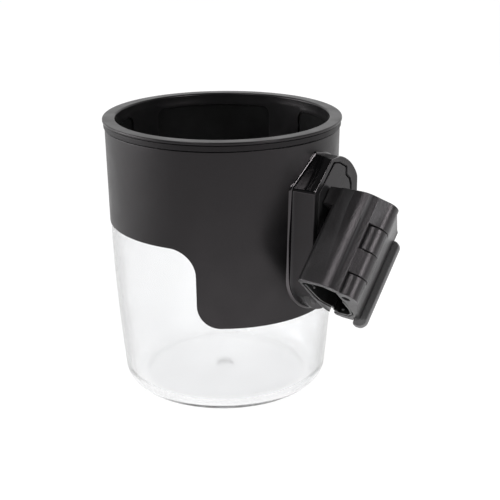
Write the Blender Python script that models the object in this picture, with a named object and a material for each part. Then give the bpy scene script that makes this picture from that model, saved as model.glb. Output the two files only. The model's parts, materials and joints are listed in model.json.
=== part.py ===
"""Clip-on cup holder: a clear cup in a black sleeve, with a tilting tube clip on its side.

Sizes below are millimetres. The origin is the centre of the cup's underside, +Z is up, and
+X points from the cup's axis to the clip. Each object's mesh is made in metres.
"""

import math

import bmesh
import bpy
from mathutils import Matrix, Vector

MM = 0.001
GAP = 0.3                    # clearance between touching pieces

# Cup, sleeve and rim
CUP_HEIGHT = 117.2           # underside to rim top
RIM_R = 50.0                 # outer radius of the rim flange
MOUTH_R = 44.7               # inner radius of the rim
FLANGE_BOTTOM = 116.1        # lower face of the rim flange
TRIM_BOTTOM = 113.6          # lower face of the trim ring under the flange
TRIM_R = 49.6
SLEEVE_EDGE_Z = 73.2         # lower edge of the sleeve away from the clip
SKIRT_EDGE_Z = 40.0          # lower edge of the skirt below the clip
SKIRT_HALF_ANGLE = 64.6      # degrees from +X to the skirt's upright edge
SKIRT_TOP_FILLET = 11.0      # concave fillet between edge and skirt
SKIRT_LOW_FILLET = 9.5       # convex corner of the skirt
SLEEVE_EDGE_R = 48.65        # sleeve radius at its lower edge
SLEEVE_DRAFT = 0.0125        # growth of the sleeve's radius per millimetre of height
SLEEVE_WALL = 1.4
SLEEVE_PROUD = 0.4           # how far the skirt stands out from the clear wall
TAPER_RATE = 0.003           # how fast the clear wall draws in below the sleeve's edge
TAPER_POWER = 1.7
EDGE_ARC_R = 48.0            # radius that turns the skirt's angles into arc lengths
CLEAR_WALL = 2.4
CLEAR_TOP_Z = 115.5
BASE_FILLET = 7.0            # outside corner between wall and floor
FLOOR_FILLET = 6.0           # inside corner between wall and floor
FLOOR_TOP_Z = 2.6            # upper face of the cup's floor
GATE_R = 3.6                 # moulding gate ring on the floor
LINER_BOTTOM_Z = 75.5
LINER_R = 45.65              # outer radius of the grip liner's wall
LINER_WALL = 1.25
WINDOW_TOP_Z = 112.0
WINDOW_BOTTOM_Z = 81.0
WINDOW_ANGLE = 69.0          # degrees of arc in each liner window
WINDOW_COUNT = 4
WINDOW_CORNER_R = 3.0
GRIP_PAD_WALL = 0.6
AROUND = 48                  # flat facets around the turned pieces

# Receiver on the sleeve, in which the clip's tongue sits
FACE_X = 57.0                # outer face of the receiver and of the tongue
BLOCK_HALF = 16.6            # half width
BLOCK_BACK_X = 40.0          # where the block starts, inside the sleeve's curve
BLOCK_DRAFT = 1.5            # how much the left side draws in from there to the outer face
BLOCK_LOW_ARC_Z = 59.2       # centre height of the round lower end
SHOULDER_Z = 95.9            # where the left side meets the bevelled shoulder
BLOCK_TOP_Z = 108.3
FLANGE_LIP = 0.8             # how far the saddle shows round the receiver
SADDLE_WALL = 1.1
CAVITY_BACK_X = 52.2         # floor of the tongue's cavity
LIP_BACK_X = 54.6            # inner face of the lips that hold the tongue
SLOT_GAP = 0.6               # shadow gap round the tongue's face
CAVITY_HALF = 14.0
SLOT_HALF = 11.9
SLOT_TOP_Z = 105.2
TONGUE_BOTTOM_Z = 58.0
BOSS_Y = 10.5
BOSS_Z = (66.0, 98.0)
BOSS_R = 2.7
BOSS_END_X = 50.2
SCREW_X = (47.8, 51.7)       # ends of the receiver screws' shanks
SCREW_HEAD_X = (51.5, 52.1)
SCREW_SHANK_R = 1.1
SCREW_HEAD_R = 2.2
TAB_SCREW_R = 0.8
TAB_SCREW_HEAD_R = 1.2

# Tube clip: u points away from the cup, v down across the channel, w along the channel
CLIP_TILT = math.radians(43.5)
CLIP_CORNER = Vector((63.0, -30.4, 65.75))     # inner corner of the channel at its lower end
CLIP_LENGTH = 40.7
CLIP_U = Vector((1.0, 0.0, 0.0))
CLIP_V = Vector((0.0, math.cos(CLIP_TILT), -math.sin(CLIP_TILT)))
CLIP_W = Vector((0.0, math.sin(CLIP_TILT), math.cos(CLIP_TILT)))
BACK_WALL = (-2.6, -1.3)     # outer and inner face of the wall next to the receiver
HINGE_UV = (16.3, 6.2)       # hinge axis in the clip's section
BARREL_R = 4.9
BARREL_FLAT_U = 13.2         # the barrels are flat towards the channel
BARREL_FLAT_DROP = math.degrees(math.acos((HINGE_UV[0] - BARREL_FLAT_U) / BARREL_R))
PIN_R = 1.5
PIN_BORE_R = 1.8
KNUCKLE_EDGES = (8.9, 19.2, 29.5)
LIP_INNER_V = 27.4           # inner face of the jaw's lip
LIP_TIP_U = 1.9
JAW_FOOT = (13.6, 27.2)      # corner of the jaw's wall above the pull tab
NECK_W = (32.9, 40.6)        # stretch of the clip that reaches back to the receiver
NECK_V = (-2.5, 16.7)
TAB_U = (10.6, 16.2)
TAB_V = (27.5, 29.7)
TAB_W = (-2.6, 36.0)
PAD_WALL = 0.9               # rubber lining of the channel
PAD_W = (1.2, 39.5)
NUB_R = 0.95
NUB_HEIGHT = 0.7
NUB_START_W = 2.4
NUB_PITCH = 7.0
NUB_COUNT = 6
TAB_SCREW_W = (6.0, 28.0)
TAB_SCREW_U = 12.3
SPRING_W = (20.2, 29.3)      # stretch of the upper jaw knuckle that holds the spring
SPRING_ROOM_R = 3.3
SPRING_R = 2.45              # mean radius of the spring's coils
SPRING_WIRE_R = 0.4
SPRING_TURNS = 6
SPRING_LEG = 3.0             # length of each leg, along the pin

# Swivel between the tongue and the clip
SWIVEL_Z = 87.6
BOLT_R = 1.7
BOLT_X = (52.7, 60.8)
BOLT_HEAD_R = 2.9
BOLT_HEAD_X = (60.3, 61.4)
NUT_ACROSS = 5.5
NUT_X = (52.6, 54.1)
WASHER_R = 3.5
WASHER_X = (56.3, 57.0)


def clear_scene():
    for old in list(bpy.data.objects):
        bpy.data.objects.remove(old, do_unlink=True)


def make_material(name, colour, roughness, metallic=0.0, alpha=1.0):
    material = bpy.data.materials.new(name)
    material.use_nodes = True
    shader = material.node_tree.nodes["Principled BSDF"]
    shader.inputs["Base Color"].default_value = (*colour, 1.0)
    shader.inputs["Roughness"].default_value = roughness
    shader.inputs["Metallic"].default_value = metallic
    shader.inputs["Alpha"].default_value = alpha
    return material


def make_object(name, points, faces, material, parent=None, smooth_angle=30.0):
    """Make a mesh object from millimetre points, with its normals facing out."""
    mesh = bpy.data.meshes.new(name)
    mesh.from_pydata([tuple(c * MM for c in p) for p in points], [], faces)
    work = bmesh.new()
    work.from_mesh(mesh)
    bmesh.ops.remove_doubles(work, verts=work.verts, dist=1e-7)
    bmesh.ops.recalc_face_normals(work, faces=work.faces)
    work.to_mesh(mesh)
    work.free()
    mesh.shade_smooth()
    mesh.set_sharp_from_angle(angle=math.radians(smooth_angle))
    mesh.materials.append(material)
    piece = bpy.data.objects.new(name, mesh)
    bpy.context.scene.collection.objects.link(piece)
    if parent is not None:
        attach(piece, parent)
    return piece


def attach(piece, parent):
    """Parent a piece to an empty without moving its mesh in the world."""
    piece.parent = parent
    piece.matrix_parent_inverse = Matrix.Translation(parent.location).inverted()


def make_pivot(name, point):
    """Make an empty on a joint's axis."""
    pivot = bpy.data.objects.new(name, None)
    pivot.location = Vector(point) * MM
    bpy.context.scene.collection.objects.link(pivot)
    return pivot


def make_cutter(name, points, faces):
    cutter = make_object(name, points, faces, bpy.data.materials["cutter"])
    cutter.hide_render = True
    cutter.display_type = "WIRE"
    return cutter


def boolean(piece, cutter, operation):
    step = piece.modifiers.new(cutter.name, "BOOLEAN")
    step.operation = operation
    step.solver = "EXACT"
    step.object = cutter


def cut(piece, cutter):
    boolean(piece, cutter, "DIFFERENCE")


def join(piece, cutter):
    boolean(piece, cutter, "UNION")


def keep_inside(piece, cutter):
    boolean(piece, cutter, "INTERSECT")


# Shapes: each returns (points, faces) in millimetres

def turned(profile, segments=AROUND):
    """Turn a closed (radius, height) outline about the Z axis."""
    points = []
    for radius, height in profile:
        for k in range(segments):
            angle = 2.0 * math.pi * k / segments
            points.append((radius * math.cos(angle), radius * math.sin(angle), height))
    faces = []
    count = len(profile)
    for i in range(count):
        for k in range(segments):
            after = (k + 1) % segments
            low = i * segments
            high = ((i + 1) % count) * segments
            faces.append((low + k, low + after, high + after, high + k))
    return points, faces


def ruled(loops):
    """Join equal closed loops of points into a solid, with a flat cap on each end."""
    size = len(loops[0])
    points = [p for loop in loops for p in loop]
    faces = [tuple(range(size)), tuple(range((len(loops) - 1) * size, len(loops) * size))]
    for i in range(len(loops) - 1):
        for k in range(size):
            after = (k + 1) % size
            low = i * size
            faces.append((low + k, low + after, low + size + after, low + size + k))
    return points, faces


def prism_x(outline, x0, x1):
    """Extrude a (y, z) outline along X."""
    return ruled([[(x, y, z) for y, z in outline] for x in (x0, x1)])


def clip_point(u, v, w):
    return tuple(CLIP_CORNER + CLIP_U * u + CLIP_V * v + CLIP_W * w)


def clip_prism(outline, w0, w1):
    """Extrude a (u, v) outline along the clip's channel."""
    return ruled([[clip_point(u, v, w) for u, v in outline] for w in (w0, w1)])


def rod(start, end, radius, segments=20, radius_end=None):
    """Round bar between two points, straight or tapered."""
    start = Vector(start)
    end = Vector(end)
    along = (end - start).normalized()
    side = along.orthogonal().normalized()
    other = along.cross(side)
    radii = (radius, radius if radius_end is None else radius_end)
    loops = []
    for centre, size in zip((start, end), radii):
        loop = []
        for k in range(segments):
            angle = 2.0 * math.pi * k / segments
            loop.append(tuple(centre + side * size * math.cos(angle) + other * size * math.sin(angle)))
        loops.append(loop)
    return ruled(loops)


def arc(centre, radius, start, end, steps):
    """Points on an arc between two angles in degrees, both ends included."""
    result = []
    for k in range(steps + 1):
        angle = math.radians(start + (end - start) * k / steps)
        result.append((centre[0] + radius * math.cos(angle), centre[1] + radius * math.sin(angle)))
    return result


def rounded(low, high, radii, steps=5):
    """Rectangle outline with a radius for each corner, from the lower left anticlockwise."""
    (x0, y0), (x1, y1) = low, high
    corners = ((x0, y0, 1, 1, 180), (x1, y0, -1, 1, 270), (x1, y1, -1, -1, 0), (x0, y1, 1, -1, 90))
    outline = []
    for (x, y, to_x, to_y, start), radius in zip(corners, radii):
        centre = (x + to_x * radius, y + to_y * radius)
        outline += arc(centre, radius, start, start + 90, steps)
    return outline


# Cup outline

def clear_radius(z):
    """Outside of the clear wall: nearly upright under the sleeve, drawn in towards the base."""
    drop = max(SLEEVE_EDGE_Z - z, 0.0)
    return SLEEVE_EDGE_R - SLEEVE_PROUD - TAPER_RATE * drop ** TAPER_POWER


def sleeve_radius(z):
    """Outside of the sleeve and of its skirt."""
    if z > SLEEVE_EDGE_Z:
        return SLEEVE_EDGE_R + (z - SLEEVE_EDGE_Z) * SLEEVE_DRAFT
    return clear_radius(z) + SLEEVE_PROUD


def edge_angles():
    """Angles of the sleeve's facets, closer together where the skirt's edge turns."""
    coarse = 360.0 / AROUND
    turn_from, turn_to = SKIRT_HALF_ANGLE - 12.6, SKIRT_HALF_ANGLE + 11.4
    angles = []
    angle = -180.0
    while angle < 180.0 - 1e-6:
        angles.append(angle)
        near_edge = turn_from <= abs(angle + 0.1) <= turn_to
        angle += coarse / 2.0 if near_edge else coarse
    return angles


def edge_height(angle):
    """Height of the sleeve's lower edge at an angle in degrees from +X."""
    across = math.radians(SKIRT_HALF_ANGLE - abs(angle)) * EDGE_ARC_R
    if across <= -SKIRT_TOP_FILLET:
        return SLEEVE_EDGE_Z
    if across >= SKIRT_LOW_FILLET:
        return SKIRT_EDGE_Z
    if across < 0.0:
        rise = SKIRT_TOP_FILLET + across
        return SLEEVE_EDGE_Z - SKIRT_TOP_FILLET + math.sqrt(SKIRT_TOP_FILLET ** 2 - rise ** 2)
    fall = SKIRT_LOW_FILLET - across
    return SKIRT_EDGE_Z + SKIRT_LOW_FILLET - math.sqrt(SKIRT_LOW_FILLET ** 2 - fall ** 2)


def upright_shell(outer, inner, top):
    """Closed shell whose lower edge follows the skirt, between two radius functions."""
    rows = 3
    columns = []
    for angle in edge_angles():
        low = edge_height(angle)
        turn = math.radians(angle)
        column = []
        for radius, order in ((outer, range(rows + 1)), (inner, range(rows, -1, -1))):
            for k in order:
                z = low + (top - low) * k / rows
                size = radius(z)
                column.append((size * math.cos(turn), size * math.sin(turn), z))
        columns.append(column)
    return column_solid(columns)


def column_solid(columns):
    """Closed solid from one closed outline of points at each angle round the Z axis."""
    size = len(columns[0])
    points = [p for column in columns for p in column]
    faces = []
    for i in range(len(columns)):
        after = (i + 1) % len(columns)
        for k in range(size):
            below = (k + 1) % size
            faces.append((i * size + k, after * size + k, after * size + below, i * size + below))
    return points, faces


def clear_outline(edge):
    """Section of the clear cup as (radius, height), stepped in where the sleeve covers it."""
    base_r = clear_radius(BASE_FILLET) - BASE_FILLET
    step_z = edge - GAP
    outline = [(0.0, 0.0)]
    outline += [(base_r + x, y) for x, y in arc((0.0, BASE_FILLET), BASE_FILLET, -90, 0, 4)]
    for k in range(1, 5):
        z = BASE_FILLET + (step_z - BASE_FILLET) * k / 4
        outline.append((clear_radius(z), z))
    for k in range(4):
        z = step_z + (CLEAR_TOP_Z - step_z) * k / 3
        outline.append((sleeve_radius(z) - SLEEVE_WALL - GAP, z))
    neck_r = LINER_R + GAP
    outline += [(neck_r, CLEAR_TOP_Z), (neck_r, LINER_BOTTOM_Z)]
    fillet_z = FLOOR_TOP_Z + FLOOR_FILLET
    for k in range(4):
        z = LINER_BOTTOM_Z - 13.5 + (fillet_z + 0.9 - LINER_BOTTOM_Z + 13.5) * k / 3
        outline.append((clear_radius(z) - CLEAR_WALL, z))
    inner_base = outline[-1][0] - FLOOR_FILLET
    outline += [(inner_base + x, y) for x, y in arc((0.0, fillet_z), FLOOR_FILLET, -22, -90, 3)]
    gate_z = FLOOR_TOP_Z - 0.5
    outline += [(GATE_R, FLOOR_TOP_Z), (GATE_R, gate_z), (0.0, gate_z)]
    return outline


def make_clear_cup(material):
    """Clear cup: exposed wall, thinner neck under the sleeve, rounded base."""
    columns = []
    for angle in edge_angles():
        turn = math.radians(angle)
        outline = clear_outline(edge_height(angle))
        columns.append([(r * math.cos(turn), r * math.sin(turn), z) for r, z in outline])
    return make_object("clear_cup", *column_solid(columns), material)


def make_sleeve(material):
    """Black sleeve with its skirt and the four bosses that hold the receiver."""
    shell = upright_shell(sleeve_radius, lambda z: sleeve_radius(z) - SLEEVE_WALL, TRIM_BOTTOM - GAP)
    sleeve = make_object("outer_sleeve", *shell, material)
    for y, z in screw_places():
        root_x = math.sqrt((sleeve_radius(z) - 0.7) ** 2 - y ** 2)
        boss = rod((root_x, y, z), (BOSS_END_X, y, z), BOSS_R)
        join(sleeve, make_cutter(f"boss_{y:.0f}_{z:.0f}", *boss))
        bore = rod((SCREW_X[0] - 0.4, y, z), (BOSS_END_X + 5.0, y, z), SCREW_SHANK_R + GAP)
        cut(sleeve, make_cutter(f"boss_bore_{y:.0f}_{z:.0f}", *bore))
    return sleeve


def screw_places():
    """Y and Z of the receiver's screws."""
    return [(side * BOSS_Y, z) for z in BOSS_Z for side in (-1, 1)]


def make_liner(material):
    """Grip liner: rim flange above a thin wall with four windows."""
    inner = LINER_R - LINER_WALL
    profile = [
        (inner, LINER_BOTTOM_Z),
        (LINER_R, LINER_BOTTOM_Z),
        (LINER_R, FLANGE_BOTTOM),
        (RIM_R - 0.2, FLANGE_BOTTOM),
        (RIM_R, FLANGE_BOTTOM + 0.3),
        (RIM_R, CUP_HEIGHT - 0.5),
        (RIM_R - 0.5, CUP_HEIGHT),
        (MOUTH_R + 0.5, CUP_HEIGHT),
        (MOUTH_R, CUP_HEIGHT - 0.5),
    ]
    liner = make_object("grip_liner", *turned(profile), material)
    for k in range(WINDOW_COUNT):
        middle = 45.0 + 360.0 / WINDOW_COUNT * k
        window = make_cutter(f"window_{k + 1}", *window_block(middle))
        cut(liner, window)
    return liner


def window_block(middle):
    """Wedge through the liner's wall with rounded corners."""
    half = math.radians(WINDOW_ANGLE / 2.0) * LINER_R
    corners = (WINDOW_CORNER_R,) * 4
    outline = rounded((-half, WINDOW_BOTTOM_Z), (half, WINDOW_TOP_Z), corners, 3)
    outline = spread(outline, 9)
    return bent_slab(outline, LINER_R - 4.0, LINER_R + 1.0, middle)


def spread(outline, parts):
    """Split an outline's two long sides so that it bends smoothly."""
    result = []
    for k, (x, z) in enumerate(outline):
        result.append((x, z))
        x2, z2 = outline[(k + 1) % len(outline)]
        if abs(x2 - x) > 10.0:
            result += [(x + (x2 - x) * i / parts, z) for i in range(1, parts)]
    return result


def bent_slab(outline, inner, outer, middle):
    """Bend a slab round the Z axis: x in the outline is arc length at LINER_R.

    The two faces are strips between the outline's lower and upper halves."""
    lows = sorted({round(x, 6) for x, z in outline})
    columns = []
    for x in lows:
        heights = heights_at(outline, x)
        columns.append((x, min(heights), max(heights)))
    points = []
    for x, low, high in columns:
        angle = math.radians(middle) + x / LINER_R
        for radius in (inner, outer):
            for z in (low, high):
                points.append((radius * math.cos(angle), radius * math.sin(angle), z))
    faces = [(0, 1, 3, 2)]
    for i in range(len(columns) - 1):
        a = 4 * i
        b = a + 4
        for p, q in ((0, 1), (1, 3), (3, 2), (2, 0)):
            faces.append((a + p, a + q, b + q, b + p))
    last = 4 * (len(columns) - 1)
    faces.append((last, last + 1, last + 3, last + 2))
    return points, faces


def heights_at(outline, x):
    """Heights at which a closed outline crosses a given x."""
    found = []
    for k, (x1, z1) in enumerate(outline):
        x2, z2 = outline[(k + 1) % len(outline)]
        if min(x1, x2) - 1e-6 <= x <= max(x1, x2) + 1e-6:
            if abs(x2 - x1) < 1e-6:
                found += [z1, z2]
            else:
                found.append(z1 + (z2 - z1) * (x - x1) / (x2 - x1))
    return found


def make_trim_ring(material):
    """Band between the rim flange and the sleeve."""
    inner = sleeve_radius(TRIM_BOTTOM) - SLEEVE_WALL + GAP
    top = FLANGE_BOTTOM - GAP
    profile = [(inner, TRIM_BOTTOM), (TRIM_R, TRIM_BOTTOM), (TRIM_R, top), (inner, top)]
    return make_object("trim_ring", *turned(profile), material)


def make_grip_pads(material):
    """Soft pads behind the liner's windows, a little back from its inner face."""
    half = math.radians(WINDOW_ANGLE / 2.0) * LINER_R - GAP
    low = WINDOW_BOTTOM_Z + GAP
    high = WINDOW_TOP_Z - GAP
    corners = (WINDOW_CORNER_R - 0.2,) * 4
    outline = spread(rounded((-half, low), (half, high), corners, 3), 9)
    for k in range(WINDOW_COUNT):
        slab = bent_slab(outline, LINER_R - GRIP_PAD_WALL, LINER_R, 45.0 + 360.0 / WINDOW_COUNT * k)
        make_object(f"grip_pad_{k + 1}", *slab, material)


# Receiver

def block_outline(grow=0.0):
    """Receiver seen from +X as (y, z): bevelled left shoulder, round right corner and foot."""
    half = BLOCK_HALF + grow
    outline = arc((0.0, BLOCK_LOW_ARC_Z), half, 180, 360, 14)
    outline += arc((9.8, 94.0), half - 9.8, 0, 31.6, 3)
    outline += arc((-2.3, 86.6), 21.1 + grow, 33, 86, 6)
    bevel = grow * 0.414
    outline += [(-4.0 - bevel, BLOCK_TOP_Z + grow), (0.7 - half, SHOULDER_Z + 0.9 + bevel)]
    outline.append((-half, SHOULDER_Z - 0.6 + bevel))
    return outline


def block_solid(grow, x1):
    """Receiver's outer form from inside the sleeve out to x1, its left side drawn in."""
    loops = []
    for x in (BLOCK_BACK_X, x1):
        drawn = BLOCK_DRAFT * (x - BLOCK_BACK_X) / (FACE_X - BLOCK_BACK_X)
        share = drawn / (2.0 * BLOCK_HALF)
        loops.append([(x, y + (BLOCK_HALF - y) * share, z) for y, z in block_outline(grow)])
    return ruled(loops)


def slot_outline(shrink=0.0, bottom=30.0):
    """Opening for the tongue's face as (y, z): slanted left, stepped right, open below."""
    half = SLOT_HALF - shrink
    top = SLOT_TOP_Z - shrink
    slant = shrink * 0.4
    return [
        (-half, bottom),
        (half, bottom),
        (half, 92.0 - slant),
        (half - 0.4, 95.2 - slant),
        (half - 1.4, 97.2 - slant),
        (half - 3.6, 99.0 - slant),
        (half - 3.6, 101.6 - slant),
        (half - 4.9, 103.1 - slant),
        (half - 8.2, 104.7 - slant),
        (half - 11.6, top + 0.5),
        (-half + 9.4 + slant, top),
        (-half, 95.5 - slant),
    ]


def cavity_outline(shrink=0.0, bottom=30.0):
    """Room for the tongue's wider back as (y, z)."""
    half = CAVITY_HALF - shrink
    top = 105.4 - shrink
    return [(-half, bottom), (half, bottom), (half, 94.0), (half - 6.0, 102.4 - shrink * 0.6),
            (4.0, top), (-4.5, top), (-half, 96.6 - shrink * 0.6)]


def round_the_cup(inner_extra, outer_extra):
    """Turned ring over the sleeve's outside, between two distances from it."""
    heights = (20.0, 34.0, 47.0, 61.0, SLEEVE_EDGE_Z + 0.7, 130.0)
    outside = [(sleeve_radius(z) + outer_extra, z) for z in heights]
    inside = [(sleeve_radius(z) + inner_extra, z) for z in reversed(heights)]
    return turned(outside + inside, 100)


def through(y, z, radius, segments=20):
    """Round bar from inside the cup out past the receiver."""
    return rod((BLOCK_BACK_X, y, z), (FACE_X + 3.0, y, z), radius, segments)


def make_saddle(material):
    """Curved flange between the sleeve and the receiver."""
    saddle = make_object("mount_saddle", *block_solid(FLANGE_LIP, FACE_X - 1.0), material)
    ring = make_cutter("saddle_ring", *round_the_cup(GAP, GAP + SADDLE_WALL))
    keep_inside(saddle, ring)
    for y, z in screw_places():
        cut(saddle, make_cutter(f"saddle_hole_{y:.0f}_{z:.0f}", *through(y, z, BOSS_R + GAP)))
    return saddle


def make_receiver(material):
    """Receiver: the block with a slot, open below, for the clip's tongue."""
    block = make_object("receiver_housing", *block_solid(0.0, FACE_X), material)
    back = make_cutter("receiver_back", *round_the_cup(-30.0, GAP * 2.0 + SADDLE_WALL))
    cavity = make_cutter("tongue_cavity", *prism_x(cavity_outline(), CAVITY_BACK_X, LIP_BACK_X))
    slot = make_cutter("tongue_slot", *prism_x(slot_outline(), LIP_BACK_X - 0.5, FACE_X + 5.0))
    for cutter in (back, cavity, slot):
        cut(block, cutter)
    for y, z in screw_places():
        pocket = rod((BLOCK_BACK_X, y, z), (BOSS_END_X + GAP, y, z), BOSS_R + GAP)
        hole = through(y, z, SCREW_SHANK_R + GAP)
        seat = rod((SCREW_HEAD_X[0] - GAP, y, z), (FACE_X - 1.0, y, z), SCREW_HEAD_R + GAP)
        for name, shape in (("pocket", pocket), ("hole", hole), ("seat", seat)):
            cut(block, make_cutter(f"screw_{name}_{y:.0f}_{z:.0f}", *shape))
    return block


def make_receiver_screws(material):
    """Flat-headed screws from the cavity's floor into the sleeve's bosses."""
    for k, (y, z) in enumerate(screw_places()):
        shank = rod((SCREW_X[0], y, z), (SCREW_X[1], y, z), SCREW_SHANK_R, 12)
        screw = make_object(f"receiver_screw_{k + 1}", *shank, material)
        head = rod((SCREW_HEAD_X[0], y, z), (SCREW_HEAD_X[1], y, z), SCREW_HEAD_R, 16)
        join(screw, make_cutter(f"screw_head_{k + 1}", *head))


def make_tongue(material):
    """Tongue: wide back held behind the receiver's lips, and a face that fills the slot."""
    back = prism_x(cavity_outline(GAP, TONGUE_BOTTOM_Z), CAVITY_BACK_X + GAP, LIP_BACK_X - GAP)
    tongue = make_object("tongue_plate", *back, material)
    face = prism_x(slot_outline(SLOT_GAP, TONGUE_BOTTOM_Z), CAVITY_BACK_X + 1.0, FACE_X)
    join(tongue, make_cutter("tongue_face", *face))
    bore = make_cutter("tongue_bore", *on_swivel(50.0, 60.0, BOLT_R + GAP))
    seat = make_cutter("washer_seat", *on_swivel(WASHER_X[0] - GAP, 60.0, WASHER_R + GAP))
    nut_seat = make_cutter("nut_seat", *nut_shape(50.0, NUT_X[1] + GAP, NUT_ACROSS + 2.0 * GAP))
    for cutter in (bore, seat, nut_seat):
        cut(tongue, cutter)
    return tongue


def on_swivel(x0, x1, radius, segments=20):
    """Round bar on the swivel's axis."""
    return rod((x0, 0.0, SWIVEL_Z), (x1, 0.0, SWIVEL_Z), radius, segments)


def nut_shape(x0, x1, across):
    """Hexagonal bar on the swivel's axis."""
    radius = across / math.sqrt(3.0)
    outline = [(y, SWIVEL_Z + z) for y, z in arc((0.0, 0.0), radius, 0, 300, 5)]
    return prism_x(outline, x0, x1)


def make_swivel(materials, pivot):
    """Bolt, nut and washer that let the clip turn on the tongue."""
    steel = materials["steel"]
    nut = make_object("swivel_nut", *nut_shape(*NUT_X, NUT_ACROSS), steel)
    cut(nut, make_cutter("nut_bore", *on_swivel(50.0, 60.0, BOLT_R + GAP)))
    washer = make_object("swivel_washer", *on_swivel(*WASHER_X, WASHER_R), materials["spring"])
    cut(washer, make_cutter("washer_bore", *on_swivel(50.0, 60.0, BOLT_R + GAP)))
    bolt = make_object("swivel_bolt", *on_swivel(*BOLT_X, BOLT_R, 16), steel, pivot)
    join(bolt, make_cutter("bolt_head", *on_swivel(*BOLT_HEAD_X, BOLT_HEAD_R)))


# Tube clip

def body_outline():
    """Section of the clip's body: bowed back wall with a hooked end, convex top and hinge barrel."""
    outer, inner = BACK_WALL
    outline = [(outer, 6.0), (-2.9, 11.0), (-3.1, 16.0), (-2.85, 22.0), (-2.3, 25.5), (-1.5, 26.8)]
    outline += [(-0.7, 27.1), (0.1, 25.9), (1.7, 22.6), (2.6, 21.2), (0.4, 19.6), (-1.0, 17.4), (-1.45, 13.0)]
    outline += [(inner, 7.0), (inner, 1.2), (inner + 0.8, 0.2)]
    outline += [(7.4, -0.9), (9.2, -0.6), (BARREL_FLAT_U, 2.6)]
    outline += arc(HINGE_UV, BARREL_R, 180.0 - BARREL_FLAT_DROP, -56.0, 12)
    outline += [(14.4, -1.5), (12.9, -2.5), (11.0, -3.0), (8.6, -3.2), (3.4, -3.0)]
    outline += arc((1.4, 0.9), 4.0, -105, -180, 4)
    return outline


def make_clip_body(material, pivot):
    """Fixed half of the clip with the neck that carries it on the tongue."""
    body = make_object("clip_body", *clip_prism(body_outline(), 0.0, CLIP_LENGTH), material, pivot)
    root_u = FACE_X + GAP - CLIP_CORNER.x
    neck_outline = [(root_u, NECK_V[0]), (6.0, NECK_V[0] - 0.7), (6.0, -1.6), (-1.6, -1.2),
                    (-1.6, NECK_V[1]), (root_u, NECK_V[1])]
    neck = make_cutter("neck", *clip_prism(neck_outline, *NECK_W))
    join(body, neck)
    bore_pin(body, "body")
    jaw_spans = ((-5.0, KNUCKLE_EDGES[0]), (KNUCKLE_EDGES[1], KNUCKLE_EDGES[2]))
    cut_knuckles(body, jaw_spans, "body")
    cut_corners(body, jaw_spans)
    leg_hole = spring_leg(KNUCKLE_EDGES[2] - 1.0, SPRING_LEG + 1.5, SPRING_WIRE_R + GAP)
    cut(body, make_cutter("body_leg_hole", *leg_hole))
    cut(body, make_cutter("neck_bore", *on_swivel(50.0, 70.0, BOLT_R + GAP)))
    cut(body, make_cutter("head_seat", *on_swivel(BOLT_HEAD_X[0] - GAP, 70.0, BOLT_HEAD_R + GAP)))
    return body


def barrel_rod(w0, w1, radius, segments=24):
    start = clip_point(*HINGE_UV, w0)
    end = clip_point(*HINGE_UV, w1)
    return rod(start, end, radius, segments)


def cut_knuckles(piece, spans, name):
    """Take out the other half's knuckles, with clearance at their ends and around them."""
    for k, (w0, w1) in enumerate(spans):
        room = barrel_rod(w0 - GAP / 2.0, w1 + GAP / 2.0, BARREL_R + 0.35, 32)
        cut(piece, make_cutter(f"{name}_knuckle_{k + 1}", *room))


def cut_corners(body, spans):
    """Open the body's top and outer side where the jaw's knuckles turn."""
    hinge_u, hinge_v = HINGE_UV
    beside = hinge_u - 0.5
    above = [(hinge_u + 0.1, hinge_v - 0.1), (30.0, hinge_v - 0.1), (30.0, -12.0)]
    above += [(beside, -12.0), (beside, 4.0)]
    for k, (w0, w1) in enumerate(spans):
        corner = clip_prism(above, w0 - GAP / 2.0, w1 + GAP / 2.0)
        cut(body, make_cutter(f"body_corner_{k + 1}", *corner))


def bore_pin(piece, name):
    bore = make_cutter(f"{name}_pin_bore", *barrel_rod(-5.0, CLIP_LENGTH + 5.0, PIN_BORE_R, 20))
    cut(piece, bore)


def jaw_outline():
    """Section of the jaw without its knuckles: wedge-shaped wall and a deep rounded lip."""
    hinge_u, hinge_v = HINGE_UV
    foot_u, foot_v = JAW_FOOT
    notch_u = TAB_U[0] - GAP
    return [
        (hinge_u + BARREL_R, hinge_v + 0.6),
        (foot_u + 0.5, foot_v - 2.2),
        (foot_u, foot_v),
        (notch_u, foot_v),
        (notch_u - 0.2, 29.0),
        (8.8, 30.5),
        (7.2, 31.0),
        (5.4, 30.9),
        (2.8, 29.9),
        (LIP_TIP_U, 28.6),
        (LIP_TIP_U, LIP_INNER_V + 0.4),
        (LIP_TIP_U + 0.5, LIP_INNER_V),
        (7.8, LIP_INNER_V),
        (9.0, 26.8),
        (11.4, 24.4),
        (12.0, 23.4),
        (13.0, 18.3),
        (13.45, 11.0),
        (BARREL_FLAT_U + 0.2, hinge_v + 0.4),
        (hinge_u, hinge_v + 0.4),
    ]


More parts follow.
